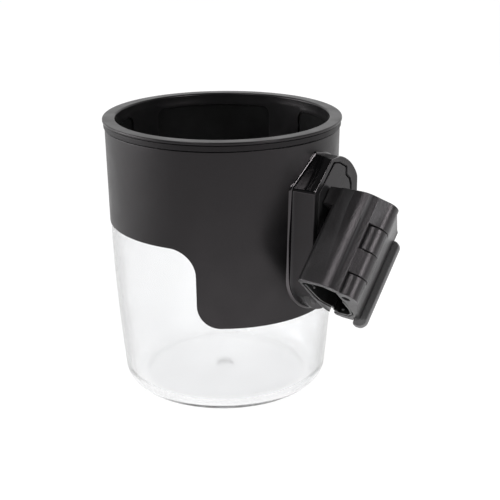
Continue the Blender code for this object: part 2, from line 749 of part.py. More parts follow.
def make_jaw(material, pivot):
    """Hinged half of the clip: two knuckles, wall and lip."""
    jaw = make_object("clip_jaw", *clip_prism(jaw_outline(), 0.2, CLIP_LENGTH - 0.9), material, pivot)
    spans = ((0.0, KNUCKLE_EDGES[0]), (KNUCKLE_EDGES[1], KNUCKLE_EDGES[2]))
    cut_knuckles(jaw, ((KNUCKLE_EDGES[0], KNUCKLE_EDGES[1]), (KNUCKLE_EDGES[2], CLIP_LENGTH + 5.0)), "jaw")
    half_turn = 180.0 - BARREL_FLAT_DROP
    round_side = arc(HINGE_UV, BARREL_R - 0.05, -half_turn, half_turn, 20)
    for k, (w0, w1) in enumerate(spans):
        knuckle = clip_prism(round_side, w0 + GAP / 2.0, w1 - GAP / 2.0)
        join(jaw, make_cutter(f"jaw_barrel_{k + 1}", *knuckle))
    bore_pin(jaw, "jaw")
    spring_room = barrel_rod(SPRING_W[0] - GAP, KNUCKLE_EDGES[2] + 1.0, SPRING_ROOM_R, 20)
    cut(jaw, make_cutter("spring_room", *spring_room))
    leg_hole = spring_leg(SPRING_W[0] + 0.5, -SPRING_LEG, SPRING_WIRE_R + GAP)
    cut(jaw, make_cutter("jaw_leg_hole", *leg_hole))
    for k, w in enumerate(TAB_SCREW_W):
        hole = make_cutter(f"jaw_screw_hole_{k + 1}", *tab_rod(w, 26.0, 31.0, TAB_SCREW_R + GAP))
        cut(jaw, hole)


def make_hinge_pin(material, pivot):
    return make_object("hinge_pin", *barrel_rod(1.0, CLIP_LENGTH - 1.0, PIN_R, 16), material, pivot)


def tab_rod(w, v0, v1, radius, segments=12):
    """Round bar across the pull tab."""
    return rod(clip_point(TAB_SCREW_U, v0, w), clip_point(TAB_SCREW_U, v1, w), radius, segments)


def make_pull_tab(material, pivot):
    """Plate under the jaw's lip, by which the jaw is pulled open."""
    outline = rounded((TAB_U[0], TAB_W[0]), (TAB_U[1], TAB_W[1]), (2.0, 3.0, 3.0, 2.0))
    loops = [[clip_point(u, v, w) for u, w in outline] for v in TAB_V]
    tab = make_object("pull_tab", *ruled(loops), material, pivot)
    for k, w in enumerate(TAB_SCREW_W):
        hole = make_cutter(f"tab_hole_{k + 1}", *tab_rod(w, 25.0, 31.0, TAB_SCREW_R + GAP))
        seat = make_cutter(f"tab_seat_{k + 1}", *tab_rod(w, TAB_V[1] - 1.0, 31.0, TAB_SCREW_HEAD_R + GAP))
        cut(tab, hole)
        cut(tab, seat)


def make_tab_screws(material, pivot):
    """Small screws that hold the pull tab on the jaw's lip."""
    head_v = TAB_V[1] - 1.0 + GAP
    for k, w in enumerate(TAB_SCREW_W):
        shank = tab_rod(w, 26.3, head_v + 0.2, TAB_SCREW_R)
        screw = make_object(f"tab_screw_{k + 1}", *shank, material, pivot)
        head = make_cutter(f"tab_screw_head_{k + 1}", *tab_rod(w, head_v, TAB_V[1] - 0.1, TAB_SCREW_HEAD_R))
        join(screw, head)


def spring_leg(w, length, radius):
    """Straight leg of the spring, parallel to the pin."""
    hinge_u, hinge_v = HINGE_UV
    ends = [clip_point(hinge_u, hinge_v + SPRING_R, level) for level in (w, w + length)]
    return rod(*ends, radius, 8)


def make_jaw_spring(material, pivot):
    """Torsion spring round the pin, with one leg in the jaw and one in the body."""
    steps = 10
    sides = 6
    low = SPRING_W[0] + SPRING_WIRE_R
    pitch = (SPRING_W[1] - SPRING_W[0] - 2.0 * SPRING_WIRE_R) / SPRING_TURNS
    path = [(math.pi / 2.0, low - SPRING_LEG + 0.7)]
    for k in range(SPRING_TURNS * steps + 1):
        path.append((math.pi / 2.0 + 2.0 * math.pi * k / steps, low + pitch * k / steps))
    path.append((path[-1][0], path[-1][1] + SPRING_LEG))
    loops = []
    for k, (angle, w) in enumerate(path):
        out = Vector((math.cos(angle), math.sin(angle), 0.0))
        along = Vector((-math.sin(angle), math.cos(angle), 0.0))
        straight = k in (0, len(path) - 1)
        up = along if straight else Vector((0.0, 0.0, 1.0))
        loop = []
        for side in range(sides):
            turn = 2.0 * math.pi * side / sides
            offset = (out * math.cos(turn) + up * math.sin(turn)) * SPRING_WIRE_R
            u = HINGE_UV[0] + SPRING_R * out.x + offset.x
            v = HINGE_UV[1] + SPRING_R * out.y + offset.y
            loop.append(clip_point(u, v, w + offset.z))
        loops.append(loop)
    make_object("jaw_spring", *ruled(loops), material, pivot)


def pad_with_nubs(name, outline, rows, material, pivot):
    """Rubber lining: a bent strip with rows of round nubs; each row is (u, v, du, dv)."""
    pad = make_object(name, *clip_prism(outline, *PAD_W), material, pivot)
    points = []
    faces = []
    for u, v, du, dv in rows:
        for k in range(NUB_COUNT):
            w = NUB_START_W + NUB_PITCH * k
            foot = clip_point(u - du * 0.4, v - dv * 0.4, w)
            tip = clip_point(u + du * NUB_HEIGHT, v + dv * NUB_HEIGHT, w)
            nub_points, nub_faces = rod(foot, tip, NUB_R, 8, NUB_R * 0.6)
            faces += [tuple(i + len(points) for i in face) for face in nub_faces]
            points += nub_points
    join(pad, make_cutter(f"{name}_nubs", points, faces))


def make_pads(material, swivel, hinge):
    """Linings of the clip's back wall and of the jaw; both end in a bead at the mouth."""
    back = BACK_WALL[1] + GAP
    front = back + PAD_WALL
    body_strip = [(back, 2.4), (back, 7.0), (-1.15, 13.0), (-0.7, 17.2), (0.65, 19.4), (2.75, 20.95),
                  (2.95, 21.35), (2.15, 22.85), (2.9, 23.4), (3.7, 21.8), (3.8, 20.9), (3.2, 20.1),
                  (1.1, 18.6), (0.15, 16.9), (-0.25, 13.0), (front, 7.0), (front, 2.4)]
    body_rows = [(front, 8.2, 1.0, 0.0), (0.6, 17.7, 0.87, -0.49)]
    pad_with_nubs("body_pad", body_strip, body_rows, material, swivel)
    foot = LIP_INNER_V - GAP
    face = foot - PAD_WALL
    jaw_strip = [(2.6, foot), (2.2, 26.8), (2.2, 24.6), (2.6, 24.1), (3.3, 24.3), (3.8, face), (7.5, face),
                 (8.3, 25.75), (10.45, 23.6), (10.85, 22.9), (11.8, 18.1), (12.1, 11.4), (13.0, 11.5),
                 (12.68, 18.2), (11.72, 23.2), (11.15, 24.15), (8.8, 26.5), (7.7, foot)]
    jaw_rows = [(5.3, face, 0.0, -1.0), (11.85, 17.0, -1.0, -0.1)]
    pad_with_nubs("jaw_pad", jaw_strip, jaw_rows, material, hinge)


def main():
    clear_scene()
    materials = {
        "cutter": make_material("cutter", (1.0, 0.0, 0.0), 0.5),
        "clear": make_material("clear_plastic", (0.93, 0.94, 0.95), 0.08, alpha=0.25),
        "black": make_material("black_plastic", (0.030, 0.030, 0.032), 0.45),
        "rubber": make_material("black_rubber", (0.012, 0.012, 0.012), 0.8),
        "steel": make_material("zinc_steel", (0.60, 0.60, 0.58), 0.35, 1.0),
        "spring": make_material("spring_steel", (0.45, 0.45, 0.46), 0.3, 1.0),
    }
    black = materials["black"]
    make_clear_cup(materials["clear"])
    make_sleeve(black)
    make_liner(black)
    make_trim_ring(black)
    make_grip_pads(materials["rubber"])
    make_saddle(black)
    make_receiver(black)
    make_receiver_screws(materials["steel"])
    make_tongue(black)
    swivel = make_pivot("swivel_pivot", (FACE_X, 0.0, SWIVEL_Z))
    make_swivel(materials, swivel)
    make_clip_body(black, swivel)
    make_hinge_pin(materials["steel"], swivel)
    make_jaw_spring(materials["spring"], swivel)
    hinge = make_pivot("hinge_pivot", clip_point(*HINGE_UV, CLIP_LENGTH / 2.0))
    make_jaw(black, hinge)
    make_pull_tab(black, hinge)
    make_tab_screws(materials["steel"], hinge)
    make_pads(materials["rubber"], swivel, hinge)


main()
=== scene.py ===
"""Looks of the clip-on cup holder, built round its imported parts.

Lengths below are millimetres, and a mesh is made in metres. The clip's own axes are u, away
from the cup, v, across the channel, and w, along the channel and the hinge pin.
"""

import json
import math

import bmesh
import bpy
from mathutils import Matrix, Vector


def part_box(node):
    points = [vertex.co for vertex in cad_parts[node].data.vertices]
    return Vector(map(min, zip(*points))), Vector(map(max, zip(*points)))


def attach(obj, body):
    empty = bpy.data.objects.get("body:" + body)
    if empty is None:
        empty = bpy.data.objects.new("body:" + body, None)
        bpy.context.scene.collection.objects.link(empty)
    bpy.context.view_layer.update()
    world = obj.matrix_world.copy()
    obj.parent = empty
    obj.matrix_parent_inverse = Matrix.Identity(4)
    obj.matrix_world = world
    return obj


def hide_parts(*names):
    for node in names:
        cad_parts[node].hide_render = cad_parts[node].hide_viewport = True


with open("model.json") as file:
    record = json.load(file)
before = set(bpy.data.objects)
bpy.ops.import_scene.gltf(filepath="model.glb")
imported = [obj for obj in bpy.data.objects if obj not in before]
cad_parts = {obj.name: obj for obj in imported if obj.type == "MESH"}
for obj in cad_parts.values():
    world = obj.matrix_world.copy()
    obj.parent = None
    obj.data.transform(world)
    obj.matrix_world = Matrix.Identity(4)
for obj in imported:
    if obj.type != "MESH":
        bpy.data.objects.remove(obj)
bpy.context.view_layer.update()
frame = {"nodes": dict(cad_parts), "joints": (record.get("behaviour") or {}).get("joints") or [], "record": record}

MM = 0.001
AROUND = 256                 # facets round the cup
JOINTS = {joint["name"]: joint for joint in frame["joints"]}


def node_box(node):
    """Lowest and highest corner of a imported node, in millimetres."""
    low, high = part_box(node)
    return low / MM, high / MM


# Places read from the frame

LINER_LOW, LINER_HIGH = node_box("grip_liner")
TRIM_LOW, TRIM_HIGH = node_box("trim_ring")
SLEEVE_LOW, SLEEVE_HIGH = node_box("outer_sleeve")
BLOCK_HIGH = node_box("receiver_housing")[1]
RIM_R = LINER_HIGH.x
RIM_TOP = LINER_HIGH.z
FACE_X = BLOCK_HIGH.x
BLOCK_HALF = BLOCK_HIGH.y
BLOCK_TOP_Z = BLOCK_HIGH.z
SWIVEL = Vector(JOINTS["clip_swivel"]["pos_m"]) / MM
PIN_MIDDLE = Vector(JOINTS["jaw_hinge"]["pos_m"]) / MM
CLIP_W = -Vector(JOINTS["jaw_hinge"]["axis"]).normalized()
CLIP_U = Vector((1.0, 0.0, 0.0))
CLIP_V = CLIP_W.cross(CLIP_U)

# Sizes of the cup

SLEEVE_EDGE_Z = 73.2         # lower edge of the sleeve away from the clip
SKIRT_HALF_ANGLE = 64.6      # degrees from +X to the skirt's upright edge
SKIRT_TOP_FILLET = 11.0
SKIRT_LOW_FILLET = 9.5
EDGE_ARC_R = 48.0            # radius that turns arc length along the edge into an angle
SLEEVE_EDGE_R = 48.65
SLEEVE_DRAFT = 0.0125
SLEEVE_PROUD = 0.4
CLEAR_WALL = 2.4
FLOOR_TOP_Z = 2.6
GATE_R = 3.6
MOUTH_R = 44.7
LINER_R = 45.65
LINER_INNER_R = 44.4
SEAM = 0.3                   # open seam between neighbouring pieces
WINDOW_LOW_Z = 81.0
WINDOW_HIGH_Z = 112.0
WINDOW_ANGLE = 69.0
WINDOW_COUNT = 4

# Sizes of the receiver

BLOCK_BACK_X = 40.0
BLOCK_DRAFT = 1.5            # how much the left side draws in from there to the outer face
BLOCK_LOW_ARC_Z = 59.2
RIGHT_ARC = (11.6, 95.2)     # centres of the arcs at its upper right, as (y, z)
CROWN_ARC = (-2.0, 86.6)
CROWN_R = 21.1
RIDGE_FOOT_Z = 107.0         # above here the receiver's top slopes down towards its face
RIDGE_SLOPE = 0.9
SADDLE_PROUD = 0.8           # saddle's outer face above the sleeve
SLOT_EASE = 0.4              # bevel round the slot's mouth
CAVITY_X = (52.2, 54.6)      # room behind the slot's lips for the tongue's back
TONGUE_BACK_X = (52.5, 54.3)
TONGUE_FACE_X = (53.2, FACE_X - 0.15)
TONGUE_FOOT_Z = 58.0
OPEN_FOOT_Z = 30.0           # below the receiver, where its cutters end
SHOULDER_FACING = Vector((0.1, -0.68, 0.73)).normalized()
SHOULDER_SPREAD = 0.66       # a face gets the glossy copy, darker as painted shade, when its normal has at least this cosine to it
SHOULDER_LOW_Z = 90.0
RECEIVER_SCREWS = 4

# Sizes of the clip

CLIP_LENGTH = 40.7
HINGE_UV = (16.3, 6.2)
CLIP_CORNER = (PIN_MIDDLE - CLIP_U * HINGE_UV[0] - CLIP_V * HINGE_UV[1]
               - CLIP_W * (CLIP_LENGTH / 2.0))
WALL_SOFT = 0.3              # rounding of the clip's ends
BARREL_R = 4.9
BARREL_FLAT_U = 13.2
BARREL_FLAT_TURN = 180.0 - math.degrees(math.acos((HINGE_UV[0] - BARREL_FLAT_U) / BARREL_R))
BARREL_END_TURN = -53.5      # where the barrel meets the straight part of the clip's top
LIP_INNER_V = 27.4
TAB_U = (10.6, 16.2)
TAB_V = (27.5, 29.7)
TAB_W = (-2.6, 36.0)
TAB_SCREW_U = 12.3
TAB_SCREW_W = (6.0, 28.0)
NUB_COUNT = 6
NUB_FIRST_W = 2.4
NUB_PITCH = 7.0
PIN_BORE_R = 1.8
KNUCKLE_EDGES = (8.9, 19.2, 29.5)
KNUCKLE_GAP = 0.3
POCKET_R = 5.25              # room round the barrel where the other half's knuckles are
BODY_KNUCKLES = ((KNUCKLE_EDGES[0], KNUCKLE_EDGES[1]), (KNUCKLE_EDGES[2], CLIP_LENGTH))
JAW_KNUCKLES = ((0.0, KNUCKLE_EDGES[0]), (KNUCKLE_EDGES[1], KNUCKLE_EDGES[2]))
PAST_END = 5.0               # how far a bore's cutter reaches past the clip's ends
SWIVEL_BORE_R = 2.0

# Studio

FLOOR_GLOW = 0.96
PAINTED_POOL_GLOW = 1.0              # painted pool of light: extra glow on the paper in front of the cup
VIEW_AZIMUTH = math.radians(39.0)
CAMERA_REACH = 0.4378        # metres, as is the height
CAMERA_HEIGHT = 0.2134
CAMERA_PAN = math.radians(1.48)
CAMERA_PITCH = math.radians(19.70)
CAMERA_ROLL = math.radians(-0.30)
CAMERA_LENS = 76.49


# Meshes

def make_piece(name, points, faces, smooth_angle=35.0):
    """Mesh object from millimetre points, with its normals out and its round faces smooth."""
    mesh = bpy.data.meshes.new(name)
    mesh.from_pydata([tuple(Vector(p) * MM) for p in points], [], faces)
    work = bmesh.new()
    work.from_mesh(mesh)
    bmesh.ops.remove_doubles(work, verts=work.verts, dist=1e-7)
    bmesh.ops.recalc_face_normals(work, faces=work.faces)
    if work.calc_volume(signed=True) < 0.0:
        bmesh.ops.reverse_faces(work, faces=work.faces)
    work.to_mesh(mesh)
    work.free()
    piece = bpy.data.objects.new(name, mesh)
    bpy.context.scene.collection.objects.link(piece)
    shade(piece, smooth_angle)
    return piece


def shade(piece, smooth_angle=35.0):
    """Smooth shading, with edges sharper than an angle in degrees kept."""
    piece.data.shade_smooth()
    piece.data.set_sharp_from_angle(angle=math.radians(smooth_angle))


def combine(piece, others, operation, smooth_angle=35.0):
    """Apply exact booleans to a piece and remove the objects that it used."""
    for other in others:
        step = piece.modifiers.new("step", "BOOLEAN")
        step.operation = operation
        step.solver = "EXACT"
        step.object = other
    graph = bpy.context.evaluated_depsgraph_get()
    mesh = bpy.data.meshes.new_from_object(piece.evaluated_get(graph))
    piece.modifiers.clear()
    piece.data = mesh
    for other in others:
        bpy.data.objects.remove(other)
    shade(piece, smooth_angle)
    return piece


def finish_piece(piece, body, slot, material, *nodes):
    """Give a piece its material and its body, and hide the nodes that it stands for; slot is not used."""
    piece.data.materials.clear()
    piece.data.materials.append(material)
    level = piece.modifiers.new("face_weighted_normals", "WEIGHTED_NORMAL")
    level.keep_sharp = True
    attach(piece, body)
    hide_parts(*nodes)
    return piece


def turned(profile, segments=AROUND):
    """Turn a closed (radius, height) outline about the Z axis; radius 0 closes on the axis."""
    columns = []
    for k in range(segments):
        angle = 2.0 * math.pi * k / segments
        columns.append([(r * math.cos(angle), r * math.sin(angle), z) for r, z in profile])
    on_axis = profile[0][0] == 0.0 and profile[-1][0] == 0.0
    return column_solid(columns, not on_axis)


def column_solid(columns, closed=True):
    """Closed solid from one outline of points at each step round the Z axis."""
    size = len(columns[0])
    points = [p for column in columns for p in column]
    faces = []
    for i in range(len(columns)):
        after = (i + 1) % len(columns)
        for k in range(size if closed else size - 1):
            below = (k + 1) % size
            faces.append((i * size + k, after * size + k, after * size + below, i * size + below))
    return points, faces


def ruled(loops):
    """Join equal closed loops into a solid, with a cap on each end."""
    size = len(loops[0])
    points = [p for loop in loops for p in loop]
    faces = [tuple(range(size)), tuple(range((len(loops) - 1) * size, len(loops) * size))]
    for i in range(len(loops) - 1):
        for k in range(size):
            after = (k + 1) % size
            low = i * size
            faces.append((low + k, low + after, low + size + after, low + size + k))
    return points, faces


def arc(centre, radius, start, end, steps):
    """Points on an arc between two angles in degrees, both ends included."""
    result = []
    for k in range(steps + 1):
        angle = math.radians(start + (end - start) * k / steps)
        result.append((centre[0] + radius * math.cos(angle), centre[1] + radius * math.sin(angle)))
    return result


def softened(corners, steps=6):
    """Closed outline through corners (x, y, radius), each rounded with its own radius."""
    outline = []
    count = len(corners)
    for k, (x, y, radius) in enumerate(corners):
        here = Vector((x, y))
        before = (Vector(corners[k - 1][:2]) - here).normalized()
        after = (Vector(corners[(k + 1) % count][:2]) - here).normalized()
        if radius <= 0.0:
            outline.append((x, y))
            continue
        half = before.angle(after) / 2.0
        reach = radius / math.tan(half)
        centre = here + (before + after).normalized() * (radius / math.sin(half))
        first = here + before * reach - centre
        turn = first.angle_signed(here + after * reach - centre)
        for i in range(steps + 1):
            angle = -turn * i / steps
            spoke = Matrix.Rotation(angle, 2) @ first
            outline.append(tuple(centre + spoke))
    return outline


def inset(outline, distance):
    """Move each side of a closed outline inwards by a distance."""
    count = len(outline)
    area = sum(x0 * y1 - x1 * y0 for (x0, y0), (x1, y1) in zip(outline[-1:] + outline, outline))
    side = 1.0 if area > 0.0 else -1.0
    result = []
    for k in range(count):
        here = Vector(outline[k])
        along_in = (here - Vector(outline[k - 1])).normalized()
        along_out = (Vector(outline[(k + 1) % count]) - here).normalized()
        normal_in = Vector((-along_in.y, along_in.x)) * side
        normal_out = Vector((-along_out.y, along_out.x)) * side
        middle = (normal_in + normal_out).normalized()
        reach = distance / max(middle.dot(normal_in), 0.5)
        result.append(tuple(here + middle * reach))
    return result


def rounded_prism(place, outline, start, end, radius, steps=3):
    """Extrude an outline from start to end, with both ends rounded over."""
    levels = []
    for k in range(steps + 1):
        turn = math.pi / 2.0 * k / steps
        levels.append((radius * (1.0 - math.sin(turn)), radius * (1.0 - math.cos(turn))))
    loops = [(start + rise, inset(outline, draw)) for draw, rise in levels]
    loops += [(end - rise, inset(outline, draw)) for draw, rise in reversed(levels)]
    return ruled([[place(x, y, level) for x, y in loop] for level, loop in loops])


def clip_point(u, v, w):
    """Point in the clip's own axes, at rest."""
    return CLIP_CORNER + CLIP_U * u + CLIP_V * v + CLIP_W * w


def face_point(y, z, x):
    """Point of an outline drawn as (y, z), at a given X."""
    return Vector((x, y, z))


def rod(start, end, radius, segments=48, soft=0.15):
    """Round bar between two points, with both ends rounded over."""
    along = (end - start).normalized()
    side = along.orthogonal().normalized()
    other = along.cross(side)
    length = (end - start).length

    def place(x, y, level):
        return start + along * level + side * x + other * y

    last = 360.0 * (1.0 - 1.0 / segments)
    circle = arc((0.0, 0.0), radius, 0.0, last, segments - 1)
    return rounded_prism(place, circle, 0.0, length, soft)


# Materials

WARM_GLOSS = (1.0, 0.92, 0.96, 1.0)
# pale grey of the painted highlight on convex edges
EDGE_HIGHLIGHT_TONE = (0.22, 0.22, 0.225, 1.0)
EDGE_HIGHLIGHT_FROM = (0.52, 0.62)     # pointiness at which the painted edge highlight starts, and where it is full
NOISE_SPAN = (0.3, 0.7)      # part of the noise's range in which nearly all of it lies
CLOUD_SHARE = 0.45           # clouds' share in the plastic's tone; the rest is grain


def new_material(name):
    """Material with its node tree and its Principled shader."""
    material = bpy.data.materials.new(name)
    material.use_nodes = True
    return material, material.node_tree, material.node_tree.nodes["Principled BSDF"]


def add(tree, kind, **settings):
    """New node; a setting is an input's value where the node has such an input."""
    node = tree.nodes.new(kind)
    for key, value in settings.items():
        if key in node.inputs:
            node.inputs[key].default_value = value
        else:
            setattr(node, key, value)
    return node


def noise(tree, coordinates, scale, detail=2.0, roughness=0.5):
    """Cloudy 0 to 1 value, with its scale in waves per metre."""
    node = add(tree, "ShaderNodeTexNoise", Scale=scale, Detail=detail, Roughness=roughness)
    tree.links.new(coordinates, node.inputs["Vector"])
    return node.outputs["Fac"]


def remap(tree, value, low, high):
    """Spread a 0 to 1 value between two limits, steepest round its middle."""
    node = add(tree, "ShaderNodeMapRange")
    node.inputs["From Min"].default_value, node.inputs["From Max"].default_value = NOISE_SPAN
    node.inputs["To Min"].default_value, node.inputs["To Max"].default_value = low, high
    tree.links.new(value, node.inputs["Value"])
    return node.outputs["Result"]


def moulded_plastic(name, dark, light, gloss, grain, grain_depth, edge_highlight, shine, bump_mm):
    """Moulded plastic: fine spark grain, cloudy tone and gloss, and a painted highlight on convex edges.

    dark and light are the greys between which its tone varies, gloss the limits of its
    roughness, grain the grain's waves per metre and shine the strength of its reflections."""
    material, tree, shader = new_material(name)
    shader.inputs["Specular IOR Level"].default_value = shine
    shader.inputs["Specular Tint"].default_value = WARM_GLOSS
    place = add(tree, "ShaderNodeTexCoord").outputs["Object"]
    cloud = noise(tree, place, 38.0, 3.0)
    fleck = noise(tree, place, grain, 2.0, 0.7)
    tone = add(tree, "ShaderNodeMix", data_type="RGBA")
    tone.inputs["A"].default_value = (*dark, 1.0)
    tone.inputs["B"].default_value = (*light, 1.0)
    mixed = add(tree, "ShaderNodeMath", operation="ADD")
    tree.links.new(remap(tree, cloud, 0.0, CLOUD_SHARE), mixed.inputs[0])
    tree.links.new(remap(tree, fleck, 0.0, 1.0 - CLOUD_SHARE), mixed.inputs[1])
    tree.links.new(mixed.outputs["Value"], tone.inputs["Factor"])
    colour = tone.outputs["Result"]
    # painted highlight: paler convex edges
    if edge_highlight > 0.0:
        colour = painted_edge_highlight(tree, colour, edge_highlight)
    tree.links.new(colour, shader.inputs["Base Color"])
    tree.links.new(remap(tree, noise(tree, place, 95.0, 3.0), *gloss), shader.inputs["Roughness"])
    bump = add(tree, "ShaderNodeBump", Strength=grain_depth, Distance=bump_mm * MM)
    tree.links.new(fleck, bump.inputs["Height"])
    tree.links.new(bump.outputs["Normal"], shader.inputs["Normal"])
    return material


def painted_edge_highlight(tree, colour, amount):
    """Lighten the colour where the surface is convex: a painted highlight along the edges."""
    geometry = add(tree, "ShaderNodeNewGeometry")
    edge = add(tree, "ShaderNodeMapRange")
    edge.inputs["From Min"].default_value, edge.inputs["From Max"].default_value = EDGE_HIGHLIGHT_FROM
    edge.inputs["To Max"].default_value = amount
    tree.links.new(geometry.outputs["Pointiness"], edge.inputs["Value"])
    pale = add(tree, "ShaderNodeMix", data_type="RGBA")
    pale.inputs["B"].default_value = EDGE_HIGHLIGHT_TONE
    tree.links.new(edge.outputs["Result"], pale.inputs["Factor"])
    tree.links.new(colour, pale.inputs["A"])
    return pale.outputs["Result"]


def rubber(name, gloss, shine):
    """Black rubber with a fine pebbled surface; gloss is the range of its roughness."""
    material, tree, shader = new_material(name)
    place = add(tree, "ShaderNodeTexCoord").outputs["Object"]
    pebbles = add(tree, "ShaderNodeTexVoronoi", Scale=1500.0)
    tree.links.new(place, pebbles.inputs["Vector"])
    tone = add(tree, "ShaderNodeMix", data_type="RGBA")
    tone.inputs["A"].default_value = (0.001, 0.001, 0.001, 1.0)
    tone.inputs["B"].default_value = (0.003, 0.003, 0.0032, 1.0)
    tree.links.new(remap(tree, noise(tree, place, 60.0, 3.0), 0.0, 1.0), tone.inputs["Factor"])
    tree.links.new(tone.outputs["Result"], shader.inputs["Base Color"])
    tree.links.new(remap(tree, noise(tree, place, 140.0), *gloss), shader.inputs["Roughness"])
    shader.inputs["Specular IOR Level"].default_value = shine
    bump = add(tree, "ShaderNodeBump", Strength=0.25, Distance=0.05 * MM)
    tree.links.new(pebbles.outputs["Distance"], bump.inputs["Height"])
    tree.links.new(bump.outputs["Normal"], shader.inputs["Normal"])
    return material


def clear_plastic():
    """Clear moulded plastic with faint flow waviness and a few rubbed patches."""
    material, tree, shader = new_material("clear_plastic")
    place = add(tree, "ShaderNodeTexCoord").outputs["Object"]
    shader.inputs["Base Color"].default_value = (0.95, 0.953, 0.958, 1.0)
    shader.inputs["Transmission Weight"].default_value = 1.0
    shader.inputs["IOR"].default_value = 1.46
    tree.links.new(remap(tree, noise(tree, place, 45.0, 3.0), 0.12, 0.19), shader.inputs["Roughness"])
    bump = add(tree, "ShaderNodeBump", Strength=0.02, Distance=0.2 * MM)
    tree.links.new(noise(tree, place, 70.0), bump.inputs["Height"])
    tree.links.new(bump.outputs["Normal"], shader.inputs["Normal"])
    return material


def steel(name, tint, gloss):
    """Plated or bare steel with fine turning marks and slight tarnish."""
    material, tree, shader = new_material(name)
    place = add(tree, "ShaderNodeTexCoord").outputs["Object"]
    shader.inputs["Metallic"].default_value = 1.0
    tone = add(tree, "ShaderNodeMix", data_type="RGBA")
    tone.inputs["A"].default_value = (*[c * 0.75 for c in tint], 1.0)
    tone.inputs["B"].default_value = (*tint, 1.0)
    tree.links.new(remap(tree, noise(tree, place, 300.0, 4.0), 0.0, 1.0), tone.inputs["Factor"])
    tree.links.new(tone.outputs["Result"], shader.inputs["Base Color"])
    tree.links.new(remap(tree, noise(tree, place, 900.0, 3.0), *gloss), shader.inputs["Roughness"])
    bump = add(tree, "ShaderNodeBump", Strength=0.15, Distance=0.03 * MM)
    tree.links.new(noise(tree, place, 2500.0, 2.0), bump.inputs["Height"])
    tree.links.new(bump.outputs["Normal"], shader.inputs["Normal"])
    return material


def floor_material():
    """Pale seamless paper with the faintest tooth; it glows evenly, with a painted pool of light in front of the
    cup.
    """
    material, tree, shader = new_material("studio_paper")
    place = add(tree, "ShaderNodeTexCoord").outputs["Object"]
    tone = add(tree, "ShaderNodeMix", data_type="RGBA")
    tone.inputs["A"].default_value = (0.11, 0.11, 0.11, 1.0)
    tone.inputs["B"].default_value = (0.13, 0.13, 0.13, 1.0)
    tree.links.new(remap(tree, noise(tree, place, 6.0), 0.0, 1.0), tone.inputs["Factor"])
    tree.links.new(tone.outputs["Result"], shader.inputs["Base Color"])
    shader.inputs["Roughness"].default_value = 0.9
    shader.inputs["Specular IOR Level"].default_value = 0.0
    shader.inputs["Emission Color"].default_value = (1.0, 1.0, 1.0, 1.0)
    # painted pool of light on the paper between the cup and the camera, fading out to the left
    along = add(tree, "ShaderNodeSeparateXYZ")
    tree.links.new(place, along.inputs["Vector"])
    near = ramp(tree, along.outputs["Y"], (-0.1, -0.055), (PAINTED_POOL_GLOW, 0.0))
    far = ramp(tree, along.outputs["Y"], (-0.35, -0.14), (0.0, 1.0))
    left = ramp(tree, along.outputs["X"], (-0.14, -0.06), (0.0, 1.0))
    depth = add(tree, "ShaderNodeMath", operation="MULTIPLY")
    tree.links.new(near, depth.inputs[0])
    tree.links.new(far, depth.inputs[1])
    pool = add(tree, "ShaderNodeMath", operation="MULTIPLY_ADD")
    tree.links.new(depth.outputs["Value"], pool.inputs[0])
    tree.links.new(left, pool.inputs[1])
    pool.inputs[2].default_value = FLOOR_GLOW
    tree.links.new(pool.outputs["Value"], shader.inputs["Emission Strength"])
    return material


PLASTICS = {
    # name: dark, light, gloss, grain, grain depth, painted edge highlight, shine, bump in millimetres
    "sleeve_plastic": ((0.002,) * 3, (0.005, 0.005, 0.0054), (0.34, 0.44), 2000.0, 0.5, 0.0, 0.3, 0.06),
    "rim_plastic": ((0.004,) * 3, (0.008, 0.008, 0.0085), (0.28, 0.38), 2200.0, 0.2, 0.0, 0.27, 0.06),
    "trim_plastic": ((0.003,) * 3, (0.006, 0.006, 0.0064), (0.4, 0.5), 2200.0, 0.2, 0.0, 0.2, 0.06),
    "housing_plastic": ((0.004,) * 3, (0.008, 0.008, 0.0085), (0.26, 0.36), 2400.0, 0.2, 0.25, 0.3, 0.06),
    # glossy copy of the housing plastic; its gloss is the finish, its darker tone painted shade
    "housing_gloss_and_painted_shade": ((0.002,) * 3, (0.004, 0.004, 0.0045), (0.05, 0.09), 900.0, 0.03, 0.0, 0.7, 0.06),
    "clip_plastic": ((0.003,) * 3, (0.012, 0.012, 0.0125), (0.3, 0.4), 1500.0, 1.0, 0.25, 0.45, 0.08),
    # tab_plastic: pale greys that paint the light falling on the pull tab
    "tab_plastic": ((0.08,) * 3, (0.15, 0.15, 0.152), (0.45, 0.6), 2200.0, 0.8, 0.2, 0.4, 0.06),
}
MATERIALS = {name: moulded_plastic(name, *settings) for name, settings in PLASTICS.items()}
MATERIALS["soft_rubber"] = rubber("soft_rubber", (0.62, 0.8), 0.12)
MATERIALS["lining_rubber"] = rubber("lining_rubber", (0.3, 0.42), 0.6)
MATERIALS["clear_plastic"] = clear_plastic()
MATERIALS["zinc_steel"] = steel("zinc_steel", (0.60, 0.60, 0.58), (0.25, 0.4))
MATERIALS["spring_steel"] = steel("spring_steel", (0.42, 0.42, 0.43), (0.2, 0.35))


# Cup

def clear_radius(z):
    """Outside of the clear wall: nearly upright under the sleeve, drawn in towards the base."""
    drop = max(SLEEVE_EDGE_Z - z, 0.0)
    return SLEEVE_EDGE_R - SLEEVE_PROUD - 0.003 * drop ** 1.7


def sleeve_radius(z):
    """Outside of the sleeve and of its skirt."""
    if z > SLEEVE_EDGE_Z:
        return SLEEVE_EDGE_R + (z - SLEEVE_EDGE_Z) * SLEEVE_DRAFT
    return clear_radius(z) + SLEEVE_PROUD


